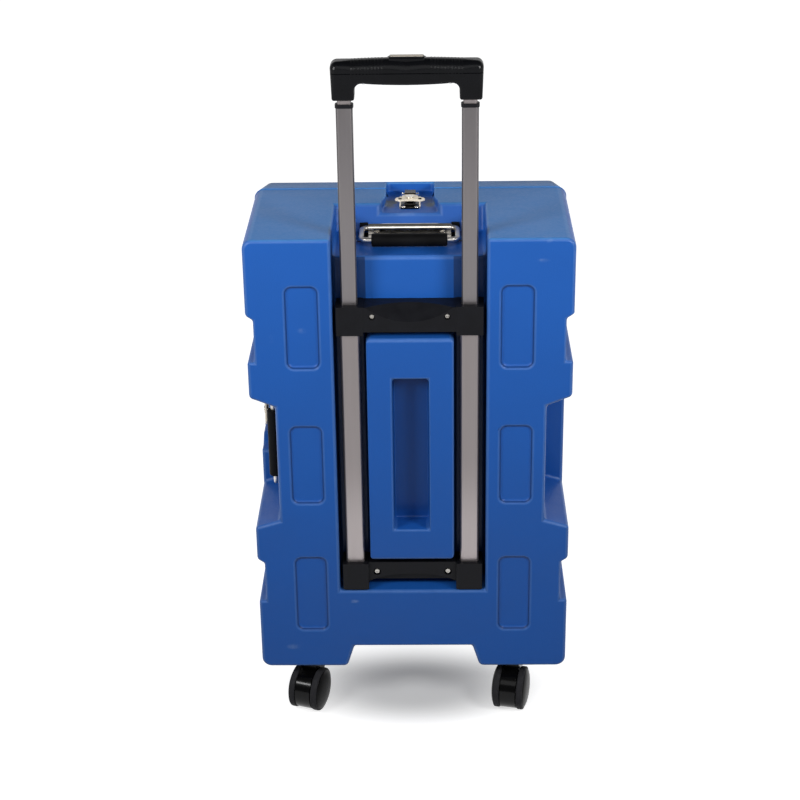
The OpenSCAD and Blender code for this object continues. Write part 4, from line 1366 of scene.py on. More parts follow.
    def cut_corners(self, bm: bmesh.types.BMesh, low: Vector, high: Vector) -> None:
        """Draws the upper corners of the lid in towards its back.

        Args:
            bm: The lid's mesh.
            low: Lowest corner of its box.
            high: Highest corner of its box.
        """
        def rise(value: float, start: float, end: float) -> float:
            """How far a value has gone from start to end, from 0 to 1."""
            return min(1.0, max(0.0, (value - start) / (end - start)))

        start, full = (high.z - drop for drop in self.corner_height)
        for vert in bm.verts:
            x, y, z = vert.co
            share = rise(y, low.y, high.y) * rise(z, start, full) * rise(abs(x), *self.corner_width)
            vert.co.x -= math.copysign(self.corner_cut * share, x)

    def narrow_mouth(self, bm: bmesh.types.BMesh) -> None:
        """Brings in the sides of the catch dish's mouth.

        Args:
            bm: The body's mesh.
        """
        near, far = self.mouth_sides
        for vert in bm.verts:
            if vert.co.z > self.mouth_low and near < abs(vert.co.x) < far:
                vert.co.x *= self.mouth_share

    @staticmethod
    def mark_edges(bm: bmesh.types.BMesh) -> None:
        """Marks the points inside rounded outward edges, for the wear and the painted highlight on the edges
        in the finish.
        """
        layer = bm.verts.layers.float.new(EDGE_LAYER)
        strips = {f for f in bm.faces if 2 * f.calc_area() < STRIP_WIDTH * f.calc_perimeter()}
        for vert in bm.verts:
            if all(face in strips for face in vert.link_faces):
                bend = max((e.calc_face_angle_signed(0.0) for e in vert.link_edges if len(e.link_faces) == 2),
                           default=0.0)
                vert[layer] = min(1.0, max(0.0, bend) / math.radians(WEAR_AND_HIGHLIGHT_BEND))


@dataclass
class Hinges:
    """Butt hinges beside the seam."""

    edge_round: float = 0.5 * MM

    def build(self) -> None:
        """Makes the leaves and pins."""
        softened_node("hinge_leaves_body", "case", NICKEL, self.edge_round)
        softened_node("hinge_leaves_lid", "lid", NICKEL, self.edge_round)
        dress(("hinge_pins",), STEEL)


WING_HALF = ((5.5, -10.6, 3.0), (14.5, -12.6, 4.5), (21.8, -8.6, 3.2), (20.6, -1.4, 3.6), (13.4, 0.6, 4.0),
             (11.0, 8.6, 4.0), (5.6, 13.2, 4.2))


@dataclass
class Catch:
    """A butterfly catch: base, hook and strike of plate, and a cast wing that turns on the post."""

    face: Face
    pivot_back: float = 25.0 * MM
    plate_round: float = 0.45 * MM
    wing_edge: float = 1.3 * MM
    eye_at: tuple[float, float] = (14.2 * MM, -6.8 * MM)
    wing_under: float = 0.5 * MM
    eye_size: tuple[float, float, float] = (4.6 * MM, 6.6 * MM, 3.8 * MM)
    eye_stain: float = 0.3 * MM
    cheek: float = 1.7 * MM
    lip: float = 1.6 * MM
    well_over: float = 1.0 * MM

    def frame(self) -> Matrix:
        """The catch's own frame: X across, Y towards the lid and Z out of the dish.

        Returns:
            The matrix from that frame to the part's.
        """
        low, high = node_box("catch_base_" + self.face.value)
        along = low.y + self.pivot_back
        if self.face is Face.TOP:
            return Matrix.Translation(((low.x + high.x) / 2, along, low.z))
        turn = Matrix.Rotation(math.radians(-90), 4, "Y")
        return Matrix.Translation((high.x, along, (low.z + high.z) / 2)) @ turn

    def build(self) -> None:
        """Makes the catch's pieces."""
        name = self.face.value
        softened_node("catch_base_" + name, "case", self.well(), self.plate_round)
        softened_node("catch_hook_" + name, "hook_" + name, SHADED_NICKEL, self.plate_round)
        softened_node("catch_strike_" + name, "lid", NICKEL, self.plate_round)
        self.wing()

    def well(self) -> WellFinish:
        """The finish of the base, with painted shade between its cheeks and below the wing.

        Returns:
            The finish for this catch.
        """
        inner, outer = self.face.ends("catch_base_" + self.face.value)
        out, across = self.face.outward, self.face.across
        centre = (inner + outer) / 2
        reach = Vector([abs(side) / 2 for side in outer - inner])
        foot, wing = inner[out], self.face.ends("catch_wing_" + self.face.value)[0][out]
        top = wing + math.copysign(self.lip, foot - wing)
        centre[out], reach[out] = (foot + top) / 2, abs(foot - top) / 2 + self.well_over
        reach[across] -= self.cheek
        reach.y += self.well_over
        return replace(WELL, name=f"channel_nickel_{self.face.value}",
                       wells=(Well(tuple(centre), tuple(reach)),))

    def wing(self) -> None:
        """Makes the wing with its scalloped lobes, arched boss and eyes."""
        node = "catch_wing_" + self.face.value
        frame = self.frame()
        start, end = (frame.inverted() @ corner for corner in self.face.ends(node))
        corners = WING_HALF + tuple((-x, y, r) for x, y, r in reversed(WING_HALF))
        outline = rounded_outline([(x * MM, y * MM, r * MM) for x, y, r in corners])
        bm = soft_prism(outline, start.z, end.z, end_rounds(self.wing_edge, self.wing_under))
        eyes = bmesh.new()
        wells = []
        half = Vector(self.eye_size) / 2
        # Painted shade: the colour is darkened inside each eye hole.
        reach = frame.to_3x3() @ (half + Vector((1, 1, 0)) * self.eye_stain)
        for side in (-1, 1):
            mouth = Vector((side * self.eye_at[0], self.eye_at[1], end.z))
            add_block(eyes, mouth, self.eye_size)
            centre = frame @ (mouth - Vector((0, 0, half.z)))
            wells.append(Well(tuple(centre), tuple(abs(v) for v in reach)))
        cast = replace(CAST, name=f"cast_nickel_{self.face.value}", wells=tuple(wells), fade=self.eye_stain)
        obj = new_object(f"catch_wing_{self.face.value}_cast", bm, cast)
        cut_out(obj, eyes)
        obj.data.transform(frame)
        settle(obj)
        hand_over(obj, "wing_" + self.face.value, CAST, (node,))


@dataclass
class CarryHandle:
    """A sprung carry handle: plate with a rolled barrel, bent rod and rubber grip."""

    face: Face
    joints: Sequence[dict[str, Any]]
    plate_round: float = 0.6 * MM
    plate_dull: float = 3.4 * MM
    plate_over: float = 1.0 * MM
    grip_round: float = 2.2 * MM
    bore: float = 3.4 * MM
    ear_span: Point = (58.4 * MM, 70.4 * MM)
    ear_depth: Point = (3.9 * MM, 6.4 * MM)
    ear_rise: Point = (-6.3 * MM, 6.4 * MM)
    ear_corner: float = 0.6 * MM
    ear_rounds: Point = (0.8 * MM, 0.2 * MM)

    def build(self) -> None:
        """Makes the handle's pieces."""
        name = self.face.value
        inner, outer = self.face.ends("handle_plate_" + name)
        centre = (inner + outer) / 2
        reach = Vector([abs(side) / 2 + self.plate_over for side in outer - inner])
        # Painted shade: the plate's nickel is darkened in a band round its base, under the barrel and the
        # grip.
        centre[self.face.outward], reach[self.face.outward] = inner[self.face.outward], self.plate_dull
        plate = replace(PLATE, name=f"plate_nickel_{name}", wells=(Well(tuple(centre), tuple(reach)),))
        softened_node("handle_plate_" + name, "case", plate, self.plate_round)
        dress(("handle_bail_" + name,), ROD)
        self.grip()
        self.ears()

    def grip(self) -> None:
        """Makes the rubber grip on the rod."""
        node = "handle_grip_" + self.face.value
        low, high = node_box(node)
        size, middle = high - low, (low + high) / 2
        half = max(size) / 2
        radius = sorted(size)[0] / 2
        curve = [math.radians(angle) for angle in range(0, 91, 15)]
        right = [(half - self.grip_round * (1 - math.sin(a)), radius - self.grip_round * (1 - math.cos(a)))
                 for a in curve]
        profile = right + [(half, self.bore), (-half, self.bore)] + [(-x, r) for x, r in reversed(right)]
        bm = lathe(profile, 48)
        self.face.place(bm, middle)
        obj = new_object(f"handle_grip_{self.face.value}_rubber", bm, RUBBER)
        settle(obj)
        hand_over(obj, "carry_handle_" + self.face.value, RUBBER, (node,))

    def ears(self) -> None:
        """Makes the dark ears that stand behind the rod, one at each end of the barrel."""
        name = self.face.value
        joint = next(j for j in self.joints if j["name"] == f"carry_handle_{name}_fold")
        centre = Vector(joint["pos_m"])
        low, high = node_box("handle_plate_" + name)
        across = self.face.across
        centre[across] = (low[across] + high[across]) / 2
        ears = []
        (near, far), (front, back), (foot, top) = self.ear_span, self.ear_depth, self.ear_rise
        for sign in (-1, 1):
            left, right = sorted((sign * near, sign * far))
            corners = ((left, front), (right, front), (right, back), (left, back))
            outline = rounded_outline([(x, y, self.ear_corner) for x, y in corners])
            ears.append(soft_prism(outline, foot, top, end_rounds(*self.ear_rounds), 3))
        both = joined(ears)
        self.face.place(both, centre)
        obj = new_object(f"handle_ears_{name}", both, RUBBER)
        settle(obj)
        hand_over(obj, "case", RUBBER)


@dataclass
class Trolley:
    """The telescopic trolley: brackets, three sizes of tube, and the grip with its button."""

    bracket_round: float = 1.1 * MM
    bracket_limit: float = 38.0
    block_width: float = 38.0 * MM
    block_trim: float = 0.02 * MM
    bar_back: float = 6.5 * MM
    bar_low: float = 9.8 * MM
    bar_arch: float = 12.5 * MM
    bar_round: float = 0.6 * MM
    bar_overlap: float = 1.0 * MM
    arch_steps: int = 12
    arch_power: float = 2.6
    lip: float = 9.0 * MM
    screw_lift: float = 11.0 * MM
    screw_sink: float = 1.2 * MM
    head_bore: float = 5.4 * MM
    bore_depth: float = 8.0 * MM
    collar_round: float = 0.7 * MM
    leg_width: float = 32.0 * MM
    leg_taper: float = 2.0 * MM
    leg_height: float = 22.5 * MM
    belly: float = 3.0 * MM
    bow: float = 3.0 * MM
    corner: float = 9.0 * MM
    inner_corner: float = 9.0 * MM
    foot_corner: float = 3.0 * MM
    crown_round: float = 13.0 * MM
    end_round: float = 8.6 * MM
    leg_round: float = 5.0 * MM
    foot_round: float = 2.6 * MM
    crown_blend: float = 8.0 * MM
    foot_blend: float = 9.0 * MM
    end_flat: float = 10.0 * MM
    end_run: float = 20.0 * MM
    dip_half: float = 22.0 * MM
    dip_depth: float = 3.2 * MM
    split_gap: float = 0.12 * MM
    split_round: float = 0.5 * MM
    overcut: float = 2.0 * MM
    button_play: float = 0.4 * MM
    pad_margin: float = 0.8 * MM
    pad_depth: float = 9.5 * MM
    pad_thick: float = 2.0 * MM
    pad_proud: float = 0.3 * MM
    button_corner: float = 3.0 * MM
    button_cut: float = 20.0 * MM
    button_rounds: Point = (0.7 * MM, 0.3 * MM)
    rim_margin: Point = (5.0 * MM, 3.4 * MM)
    rim_corner: float = 4.5 * MM
    rim_rounds: Point = (0.9 * MM, 0.2 * MM)
    rim_below: float = 4.0 * MM
    rim_above: float = 0.6 * MM
    screw_bore: float = 3.1 * MM
    rib_count: int = 10
    rib_pitch: float = 4.4 * MM
    rib_first: float = 32.0 * MM
    rib_height: float = 0.7 * MM
    rib_half: float = 1.1 * MM
    rib_sink: float = 0.3 * MM
    rib_tail: float = 4.5 * MM
    rib_sharp: float = 60.0
    rib_arc: int = 8
    rib_sides: int = 7

    def build(self) -> None:
        """Makes the trolley's pieces."""
        softened_node("bracket_upper", "case", BRACKET, self.bracket_round, 2, self.bracket_limit)
        self.lower_bracket()
        softened_node("middle_collars", "middle_stage", BRACKET, self.collar_round)
        for stage, finish in (("outer", CHAMPAGNE), ("middle", PEWTER), ("inner", CHAMPAGNE)):
            low, high = node_box(f"{stage}_tube_right")
            size, middle = high - low, (low + high) / 2
            anodised = replace(finish, name=f"{finish.name}_{stage}", middle=(middle.x, middle.y),
                               half=(size.x / 2, size.y / 2))
            dress((f"{stage}_tube_left", f"{stage}_tube_right"), anodised)
        dress(("middle_glides", "tube_plugs", "release_linkage"), BRACKET)
        dress(("lock_bolts", "button_springs", "handle_springs"), STEEL)
        self.grip()
        self.button()
        self.ribs()

    def screw_place(self, seat: Vector) -> Vector:
        """Where a bracket screw of the CAD node stands in the scene.

        Args:
            seat: The top of its head in the node.

        Returns:
            The same place for the upper bracket, and a place on the set-back bar for the lower one.
        """
        low, high = node_box("bracket_lower")
        if seat.z > high.z:
            return Vector(seat)
        return Vector((seat.x, low.y + self.bar_back + self.screw_sink, seat.z + self.screw_lift))

    def lower_bracket(self) -> None:
        """Makes the lower bracket: its socket blocks, and a set-back bar with an arched lip."""
        node = "bracket_lower"
        low, high = node_box(node)
        inner = high.x - self.block_width
        halves = []
        for side in (-1, 1):
            bm = merged_copy(node)
            keep_side(bm, (side * (inner + self.block_trim), 0, 0), (side, 0, 0))
            halves.append(bm)
        blocks = joined(halves)
        bmesh.ops.recalc_face_normals(blocks, faces=blocks.faces)
        soften(blocks, sharp_edges(blocks, self.bracket_limit), self.bracket_round, 2)
        obj = new_object("bracket_lower_blocks", blocks, BRACKET)
        settle(obj)
        hand_over(obj, "case", BRACKET, (node,))
        foot, top, half = low.z + self.bar_low, high.z, inner + self.bar_overlap
        front = low.y + self.bar_back
        behind = front + self.lip
        steps = [index / self.arch_steps for index in range(1 - self.arch_steps, self.arch_steps)]
        arch = [(half * t, foot + self.bar_arch * (1 - abs(t) ** self.arch_power)) for t in steps]
        corners = [(half, foot), (half, top), (-half, top), (-half, foot)]
        bores = bmesh.new()
        turn = Matrix.Rotation(math.radians(90), 4, "X")
        for seat, _ in fastener_places("bracket_screws"):
            place = self.screw_place(seat)
            if place.z < top:
                add_bore(bores, self.head_bore, self.bore_depth, Matrix.Translation(place) @ turn, 32)
        self.bar("lip", arch + corners, front, behind, bores)
        self.bar("web", [corners[3]] + corners[:3], behind - self.bar_overlap, high.y)

    def bar(self, name: str, outline: Sequence[Point], front: float, back: float,
            bores: bmesh.types.BMesh | None = None) -> None:
        """Makes one layer of the lower bracket's bar.

        Args:
            name: The layer's name.
            outline: Its outline as (x, z), counter-clockwise.
            front: Y of its front.
            back: Y of its back.
            bores: The screws' bores, if it has any.
        """
        bm = soft_prism(outline, front, back, end_rounds(self.bar_round, self.bar_round), 2)
        stand_up(bm)
        obj = new_object("bracket_lower_" + name, bm, BRACKET)
        if bores is not None:
            cut_out(obj, bores)
        settle(obj)
        hand_over(obj, "case", BRACKET)

    def crown(self, x: float) -> float:
        """How far the grip's bowed top lies below its middle at a distance from it."""
        half = node_box("grip_lower")[1].x
        return self.bow * (x / half) ** 2

    def grip_outline(self) -> list[Point]:
        """The grip's outline seen from the front.

        Returns:
            Points as (x, z), counter-clockwise.
        """
        low = node_box("grip_lower")[0]
        high = node_box("grip_upper")[1]
        half, foot, top = high.x, low.z, high.z
        under = foot + self.leg_height
        inner = half - self.leg_width
        corners = [(-inner - self.leg_taper / 4, foot, self.foot_corner), (-inner, under, self.inner_corner)]
        for x in range(-45, 46, 15):
            corners.append((x * MM, under - self.belly * (1 - (x * MM / inner) ** 2), 0.0))
        corners += [(inner, under, self.inner_corner), (inner + self.leg_taper / 4, foot, self.foot_corner),
                    (half - self.leg_taper, foot, self.foot_corner), (half, top - self.bow, self.corner)]
        for x in range(80, -81, -8):
            corners.append((x * MM, top - self.crown(x * MM), 0.0))
        corners += [(-half, top - self.bow, self.corner), (self.leg_taper - half, foot, self.foot_corner)]
        return rounded_outline(corners, 10.0)

    def grip_radius(self, point: Point, back: bool) -> float:
        """The rounding of the grip's front and back edges.

        Args:
            point: Point of the outline.
            back: True for the edge away from the viewer.

        Returns:
            The radius at that point.
        """
        x, z = point
        foot = node_box("grip_lower")[0].z
        split = node_box("grip_upper")[0].z
        if z > split:
            share = min(1.0, (z - split) / self.crown_blend)
            half = node_box("grip_lower")[1].x
            run = min(1.0, max(0.0, (half - self.end_flat - abs(x)) / self.end_run))
            crown = self.end_round + (self.crown_round - self.end_round) * run * run * (3 - 2 * run)
            size = self.leg_round + (crown - self.leg_round) * share
            if not back and share > 0.9:
                size += self.dip_depth * max(0.0, 1 - abs(x) / self.dip_half)
            return size
        share = min(1.0, (z - foot) / self.foot_blend)
        return self.foot_round + (self.leg_round - self.foot_round) * share

    def grip(self) -> None:
        """Makes the two halves of the grip with the button's slot and the screws' bores."""
        low, high = node_box("grip_lower")[0], node_box("grip_upper")[1]
        split = node_box("grip_upper")[0].z
        slot_low, slot_high = node_box("release_button")
        screws = fastener_places("grip_screws")
        outline = self.grip_outline()
        for node, above in (("grip_lower", False), ("grip_upper", True)):
            bm = soft_prism(outline, low.y, high.y, self.grip_radius, 6)
            stand_up(bm)
            up = 1 if above else -1
            rim = keep_side(bm, (0, 0, split + up * self.split_gap), (0, 0, up))
            soften(bm, [edge for edge in rim if edge.is_valid], self.split_round, 1)
            bmesh.ops.recalc_face_normals(bm, faces=bm.faces)
            obj = new_object(node + "_moulding", bm, GRIP)
            cutters = bmesh.new()
            if above:
                size = slot_high - slot_low + Vector((2, 2, 0)) * self.button_play
                add_block(cutters, (slot_high + slot_low) / 2 + Vector((0, 0, self.overcut)), size)
            else:
                for seat, _ in screws:
                    depth = seat.z - low.z + self.overcut
                    middle = seat + Vector((0, 0, self.overcut - depth / 2))
                    add_bore(cutters, self.screw_bore, depth, Matrix.Translation(middle), 24)
            cut_out(obj, cutters)
            settle(obj)
            hand_over(obj, "inner_stage", GRIP, (node,))

    def button(self) -> None:
        """Makes the release button and the low frame round it."""
        low, high = node_box("release_button")
        size, middle = high - low, (low + high) / 2
        pad_width = size.x - 2 * self.pad_margin
        for name, wide, deep, bottom, top, finish in (
                ("release_button_body", size.x, size.y, low.z, high.z - self.pad_proud, GRIP),
                ("release_button_pad", pad_width, self.pad_depth, high.z - self.pad_thick, high.z, BUTTON)):
            flat = rectangle(wide, deep, self.button_corner)
            outline = [(x + middle.x, y + middle.y) for x, y in flat]
            bm = soft_prism(outline, bottom, top, end_rounds(*self.button_rounds), 4)
            obj = new_object(name, bm, finish)
            settle(obj)
            hand_over(obj, "release", finish, ("release_button",) if finish is GRIP else ())
        top = node_box("grip_upper")[1].z
        wide = rectangle(size.x + self.rim_margin[0], size.y + self.rim_margin[1], self.rim_corner)
        outline = [(x + middle.x, y + middle.y) for x, y in wide]
        bm = soft_prism(outline, top - self.rim_below, top + self.rim_above, end_rounds(*self.rim_rounds), 3)
        frame = new_object("button_frame", bm, GRIP)
        cutters = bmesh.new()
        play = 2 * self.button_play
        add_block(cutters, (middle.x, middle.y, top), (size.x + play, size.y + play, self.button_cut))
        cut_out(frame, cutters)
        settle(frame)
        hand_over(frame, "inner_stage", GRIP)

    def rib(self) -> bmesh.types.BMesh:
        """Makes one finger rib that runs over the grip's top from front to back.

        Returns:
            A closed mesh with the middle of the grip's top at its origin.
        """
        low, high = node_box("grip_upper")
        half, radius = (high.y - low.y) / 2, self.crown_round
        path = [(-half, -radius - self.rib_tail)]
        for step in range(self.rib_arc + 1):
            angle = math.pi / 2 * step / self.rib_arc
            path.append((-half + radius * (1 - math.cos(angle)), -radius + radius * math.sin(angle)))
        path += [(-y, z) for y, z in reversed(path)]
        bm = bmesh.new()
        rows = []
        for index, (y, z) in enumerate(path):
            before = Vector(path[max(0, index - 1)])
            after = Vector(path[min(len(path) - 1, index + 1)])
            along = (after - before).normalized()
            out = Vector((-along.y, along.x))
            taper = min(1.0, 0.05 + index / 2.0, 0.05 + (len(path) - 1 - index) / 2.0)
            row = []
            for turn in range(self.rib_sides):
                angle = math.pi * turn / (self.rib_sides - 1)
                across = -self.rib_half * math.cos(angle)
                lift = self.rib_height * taper * math.sin(angle) - self.rib_sink
                row.append(bm.verts.new((across, y + out.x * lift, z + out.y * lift)))
            rows.append(row)
        for first, second in zip(rows, rows[1:]):
            for turn in range(self.rib_sides):
                after = (turn + 1) % self.rib_sides
                bm.faces.new((first[turn], first[after], second[after], second[turn]))
        bm.faces.new(rows[0])
        bm.faces.new(rows[-1][::-1])
        bmesh.ops.recalc_face_normals(bm, faces=bm.faces)
        return bm

    def ribs(self) -> None:
        """Sets the two groups of finger ribs along the bowed top."""
        low, high = node_box("grip_upper")
        shape = new_object("grip_rib", self.rib(), GRIP)
        settle(shape, self.rib_sharp)
        inputs = {"Rib": "Object", "Count": "Int", "Pitch": "Float", "First": "Float", "Curve": "Float",
                  "Middle": "Vector", "Finish": "Material"}
        tree, keys = geometry_tree("rib_rows", inputs, "Ribs")
        add, join = tree.nodes.new, tree.links.new
        source, sink = add("NodeGroupInput"), add("NodeGroupOutput")
        both = add("GeometryNodeJoinGeometry")
        for sign in (-1.0, 1.0):
            line = add("GeometryNodeMeshLine")
            line.mode = "OFFSET"
            join(source.outputs["Count"], line.inputs["Count"])
            for name, target in (("First", "Start Location"), ("Pitch", "Offset")):
                along = add("ShaderNodeVectorMath")
                along.operation = "SCALE"
                along.inputs[0].default_value = (sign, 0, 0)
                join(source.outputs[name], along.inputs["Scale"])
                join(along.outputs["Vector"], line.inputs[target])
            join(line.outputs["Mesh"], both.inputs["Geometry"])
        where, apart = add("GeometryNodeInputPosition"), add("ShaderNodeSeparateXYZ")
        square, drop, shift = add("ShaderNodeMath"), add("ShaderNodeMath"), add("ShaderNodeCombineXYZ")
        square.operation = drop.operation = "MULTIPLY"
        move, lift = add("GeometryNodeSetPosition"), add("ShaderNodeVectorMath")
        spread, real = add("GeometryNodeInstanceOnPoints"), add("GeometryNodeRealizeInstances")
        paint, shape_info = add("GeometryNodeSetMaterial"), add("GeometryNodeObjectInfo")
        join(where.outputs["Position"], apart.inputs[0])
        join(apart.outputs["X"], square.inputs[0])
        join(apart.outputs["X"], square.inputs[1])
        join(square.outputs[0], drop.inputs[0])
        join(source.outputs["Curve"], drop.inputs[1])
        join(drop.outputs[0], shift.inputs["Z"])
        join(shift.outputs[0], lift.inputs[0])
        join(source.outputs["Middle"], lift.inputs[1])
        join(both.outputs["Geometry"], move.inputs["Geometry"])
        join(lift.outputs["Vector"], move.inputs["Offset"])
        join(move.outputs["Geometry"], spread.inputs["Points"])
        join(source.outputs["Rib"], shape_info.inputs["Object"])
        join(shape_info.outputs["Geometry"], spread.inputs["Instance"])
        join(spread.outputs["Instances"], real.inputs["Geometry"])
        join(real.outputs["Geometry"], paint.inputs["Geometry"])
        join(source.outputs["Finish"], paint.inputs["Material"])
        join(paint.outputs["Geometry"], sink.inputs["Ribs"])
        obj = new_object("grip_ribs", bmesh.new(), GRIP)
        modifier = obj.modifiers.new("ribs", "NODES")
        modifier.node_group = tree
        for name, value in (("Rib", shape), ("Count", self.rib_count), ("Pitch", self.rib_pitch),
                            ("First", self.rib_first), ("Curve", -self.bow / high.x ** 2),
                            ("Middle", (0.0, (low.y + high.y) / 2, high.z)), ("Finish", GRIP.material())):
            modifier[keys[name]] = value
        bake_modifiers(obj)
        discard(shape)
        hand_over(obj, "inner_stage", GRIP)


TREAD_PROFILE = ((0.0, 12.0), (0.0, 30.0), (0.3, 31.5), (1.2, 32.3), (2.5, 32.5), (7.0, 32.5), (8.2, 32.25),
                 (9.0, 31.5), (9.4, 30.5), (9.5, 29.7), (9.2, 29.4), (9.2, 12.0))
CAP_PROFILE = ((0.6, 28.7), (9.0, 28.7), (9.5, 29.3), (9.9, 29.1), (10.5, 28.2), (11.3, 26.3), (12.2, 23.6),
               (13.0, 20.2), (13.65, 15.5), (14.15, 10.0), (14.4, 4.8), (14.5, 0.0), (0.6, 0.0))


@dataclass
class Castor:
    """A twin-wheel swivel castor: glossy housing and two wheels with domed caps."""

    place: str
    joints: Sequence[dict[str, Any]]
    hood_round: float = 2.4 * MM
    inner: float = 12.7 * MM
    segments: int = 72

    def build(self) -> None:
        """Makes the castor's pieces."""
        softened_node("hood_" + self.place, "castor_" + self.place, GLOSS, self.hood_round, 3)
        dress(("axle_" + self.place,), STEEL)
        for wheel in "ab":
            self.wheel(f"wheel_{self.place}_{wheel}")

    def frame(self, node: str) -> Matrix:
        """The wheel's frame, with X outwards along its axle.

        Args:
            node: The wheel's node.

        Returns:
            The matrix from that frame to the part's.
        """
        joint = next(j for j in self.joints if j["name"] == node + "_spin")
        centre, axis = Vector(joint["pos_m"]), Vector(joint["axis"]).normalized()
        low, high = node_box(node)
        if ((low + high) / 2 - centre).dot(axis) < 0:
            axis = -axis
        up = Vector((0, 0, 1))
        side = up.cross(axis)
        turn = Matrix((axis, side, up)).transposed().to_4x4()
        return Matrix.Translation(centre) @ turn

    def wheel(self, node: str) -> None:
        """Makes a wheel's tread and cap.

        Args:
            node: The wheel's node, which is also its body.
        """
        frame = self.frame(node)
        for suffix, profile, finish in (("tread", TREAD_PROFILE, TREAD), ("cap", CAP_PROFILE, CAP)):
            points = [(self.inner + x * MM, r * MM) for x, r in profile]
            bm = lathe(points, self.segments)
            bmesh.ops.transform(bm, matrix=frame, verts=bm.verts)
            obj = new_object(f"{node}_{suffix}", bm, finish)
            settle(obj, ROUND_ANGLE)
            hand_over(obj, node, finish, (node,) if suffix == "tread" else ())


@dataclass(frozen=True)
class SoftBox:
    """A lamp: its place, the point that it faces, its width and height, and its power in watts."""

    name: str
    place: tuple[float, float, float]
    aim: tuple[float, float, float]
    size: Point
    power: float


SOFT_BOXES = (
    SoftBox("soft_box_above", (0.0, -1.2, 1.45), (0.0, 0.0, 0.8), (1.1, 0.8), 4.5),
    SoftBox("soft_box_left", (-1.1, -1.1, 1.3), (0.0, 0.0, 2.0), (0.5, 0.5), 24.0),
    SoftBox("soft_box_right", (1.1, -1.1, 1.3), (0.0, 0.0, 2.0), (0.5, 0.5), 24.0),
)


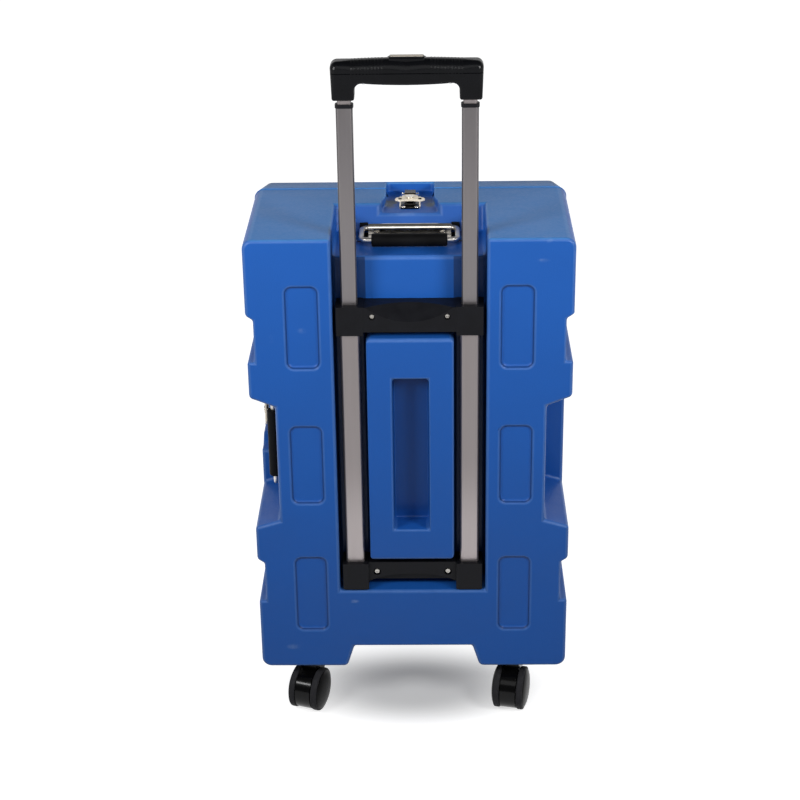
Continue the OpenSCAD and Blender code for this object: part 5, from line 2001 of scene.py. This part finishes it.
@dataclass
class Studio:
    """A white floor and background, soft light from above and both sides, and the camera."""

    eye: tuple[float, float, float] = (0.03297, -2.46975, 1.58526)
    elevation: float = 24.492
    azimuth: float = 1.161
    roll: float = -0.825
    lens: float = 83.45
    floor_size: float = 40.0
    floor_seen: float = 0.6
    floor_bounce: float = 0.06
    # shade_glow, shade_middle, shade_reach and shade_edge paint a shadow on the floor under the part.
    shade_glow: float = 0.16
    open_glow: float = 0.9
    shade_middle: tuple[float, float, float] = (0.0, -0.057, 0.0)
    shade_reach: tuple[float, float, float] = (0.2, 0.115, 1.0)
    shade_edge: Point = (0.3, 1.2)
    sky_level: float = 0.8
    front_level: float = 0.16
    zenith_level: float = 0.08
    zenith_fade: Point = (0.45, 0.75)
    front_fade: Point = (0.2, -0.3)
    sensor: float = 36.0
    view_end: float = 100.0

    def build(self) -> None:
        """Makes the floor, the light and the camera."""
        self.floor()
        self.world()
        self.lamps()
        self.camera()
        bpy.context.scene.view_settings.view_transform = "Standard"

    @staticmethod
    def seen(graph: Graph) -> Any:
        """A socket that is 1 for rays from the camera or off and through shiny surfaces.

        Args:
            graph: The graph to add it to.

        Returns:
            The socket.
        """
        path = graph.add("ShaderNodeLightPath")
        total = path.outputs["Is Camera Ray"]
        for name in ("Is Glossy Ray", "Is Transmission Ray"):
            total = graph.math("MAXIMUM", total, path.outputs[name])
        return total

    def floor(self) -> None:
        """Makes the floor: white where it is lit, with its glow lowered in an ellipse under the part, a
        painted shadow over the part's own shadow.
        """
        mesh = bpy.data.meshes.new("floor")
        half = self.floor_size / 2
        mesh.from_pydata([(-half, -half, 0), (half, -half, 0), (half, half, 0), (-half, half, 0)], [],
                         [(0, 1, 2, 3)])
        material = bpy.data.materials.new("floor_white")
        material.use_nodes = True
        graph = Graph(material.node_tree)
        matt, glow = graph.add("ShaderNodeBsdfDiffuse"), graph.add("ShaderNodeEmission")
        both, out = graph.add("ShaderNodeAddShader"), graph.add("ShaderNodeOutputMaterial")
        seen = self.seen(graph)
        # Painted shadow: the floor's glow falls from open_glow to shade_glow inside an ellipse under the
        # part.
        away = graph.distance(self.shade_middle, self.shade_reach)
        level = graph.band(away, *self.shade_edge, self.shade_glow, self.open_glow)
        graph.put(glow.inputs["Strength"], graph.band(seen, 0.0, 1.0, 0.0, level))
        graph.put(matt.inputs["Color"], graph.band(seen, 0.0, 1.0, self.floor_bounce, self.floor_seen))
        graph.put(both.inputs[0], matt.outputs[0])
        graph.put(both.inputs[1], glow.outputs[0])
        graph.put(out.inputs["Surface"], both.outputs[0])
        mesh.materials.append(material)
        obj = bpy.data.objects.new("floor", mesh)
        bpy.context.scene.collection.objects.link(obj)

    def world(self) -> None:
        """Makes the surroundings: white as seen and behind the part, and grey overhead and in front."""
        world = bpy.data.worlds.new("surroundings")
        bpy.context.scene.world = world
        world.use_nodes = True
        graph = Graph(world.node_tree, "Generated")
        sky, out = graph.add("ShaderNodeBackground"), graph.add("ShaderNodeOutputWorld")
        behind = graph.band(graph.axis(2), *self.zenith_fade, self.sky_level, self.zenith_level)
        around = graph.band(graph.axis(1), *self.front_fade, behind, self.front_level)
        path = graph.add("ShaderNodeLightPath")
        graph.put(sky.inputs["Color"], (1.0, 1.0, 1.0))
        graph.put(sky.inputs["Strength"], graph.math("MAXIMUM", path.outputs["Is Camera Ray"], around))
        graph.put(out.inputs["Surface"], sky.outputs[0])

    def lamps(self) -> None:
        """Adds the soft boxes."""
        for box in SOFT_BOXES:
            data = bpy.data.lights.new(box.name, "AREA")
            data.energy = box.power
            data.shape = "RECTANGLE"
            data.size, data.size_y = box.size
            place = Vector(box.place)
            turn = (Vector(box.aim) - place).to_track_quat("-Z", "Y")
            lamp = bpy.data.objects.new(box.name, data)
            lamp.matrix_world = Matrix.Translation(place) @ turn.to_matrix().to_4x4()
            lamp.visible_camera = False
            bpy.context.scene.collection.objects.link(lamp)

    def camera(self) -> None:
        """Adds the camera at the viewpoint fitted to the photograph."""
        tilt, swing, roll = (math.radians(a) for a in (self.elevation, self.azimuth, self.roll))
        back = Vector((math.sin(swing) * math.cos(tilt), -math.cos(swing) * math.cos(tilt), math.sin(tilt)))
        right = Vector((math.cos(swing), math.sin(swing), 0))
        up = back.cross(right)
        across = right * math.cos(roll) + up * math.sin(roll)
        upright = up * math.cos(roll) - right * math.sin(roll)
        data = bpy.data.cameras.new("viewpoint")
        data.lens = self.lens
        data.sensor_width = self.sensor
        data.clip_end = self.view_end
        obj = bpy.data.objects.new("viewpoint", data)
        turn = Matrix((across, upright, back)).transposed().to_4x4()
        obj.matrix_world = Matrix.Translation(self.eye) @ turn
        bpy.context.scene.collection.objects.link(obj)
        bpy.context.scene.camera = obj


def set_fasteners(trolley: Trolley) -> None:
    """Sets every rivet and screw of the part.

    Args:
        trolley: The trolley, whose lower bar carries two of the screws.
    """
    heads = Fasteners("fastener_heads")
    heads.spread("rivets_body", "case", NICKEL, RIVET)
    heads.spread("rivets_lid", "lid", NICKEL, RIVET)
    heads.spread("bracket_screws", "case", SCREW, BRACKET_SCREW, trolley.screw_place)
    heads.spread("castor_screws", "case", STEEL, CASTOR_SCREW)
    heads.spread("grip_screws", "inner_stage", STEEL, GRIP_SCREW)


def main() -> None:
    """Builds the part round the frame."""
    logging.basicConfig(level=logging.INFO, format="%(message)s")
    for obj in list(bpy.data.objects):
        bpy.data.objects.remove(obj)
    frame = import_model()
    CaseShell().build()
    Hinges().build()
    for face in Face:
        Catch(face).build()
        CarryHandle(face, frame["joints"]).build()
    trolley = Trolley()
    trolley.build()
    softened_node("castor_plates", "case", STEEL, CASTOR_PLATE_ROUND)
    for place in ("back_left", "back_right", "front_left", "front_right"):
        Castor(place, frame["joints"]).build()
    set_fasteners(trolley)
    Studio().build()


if __name__ == "__main__":
    main()
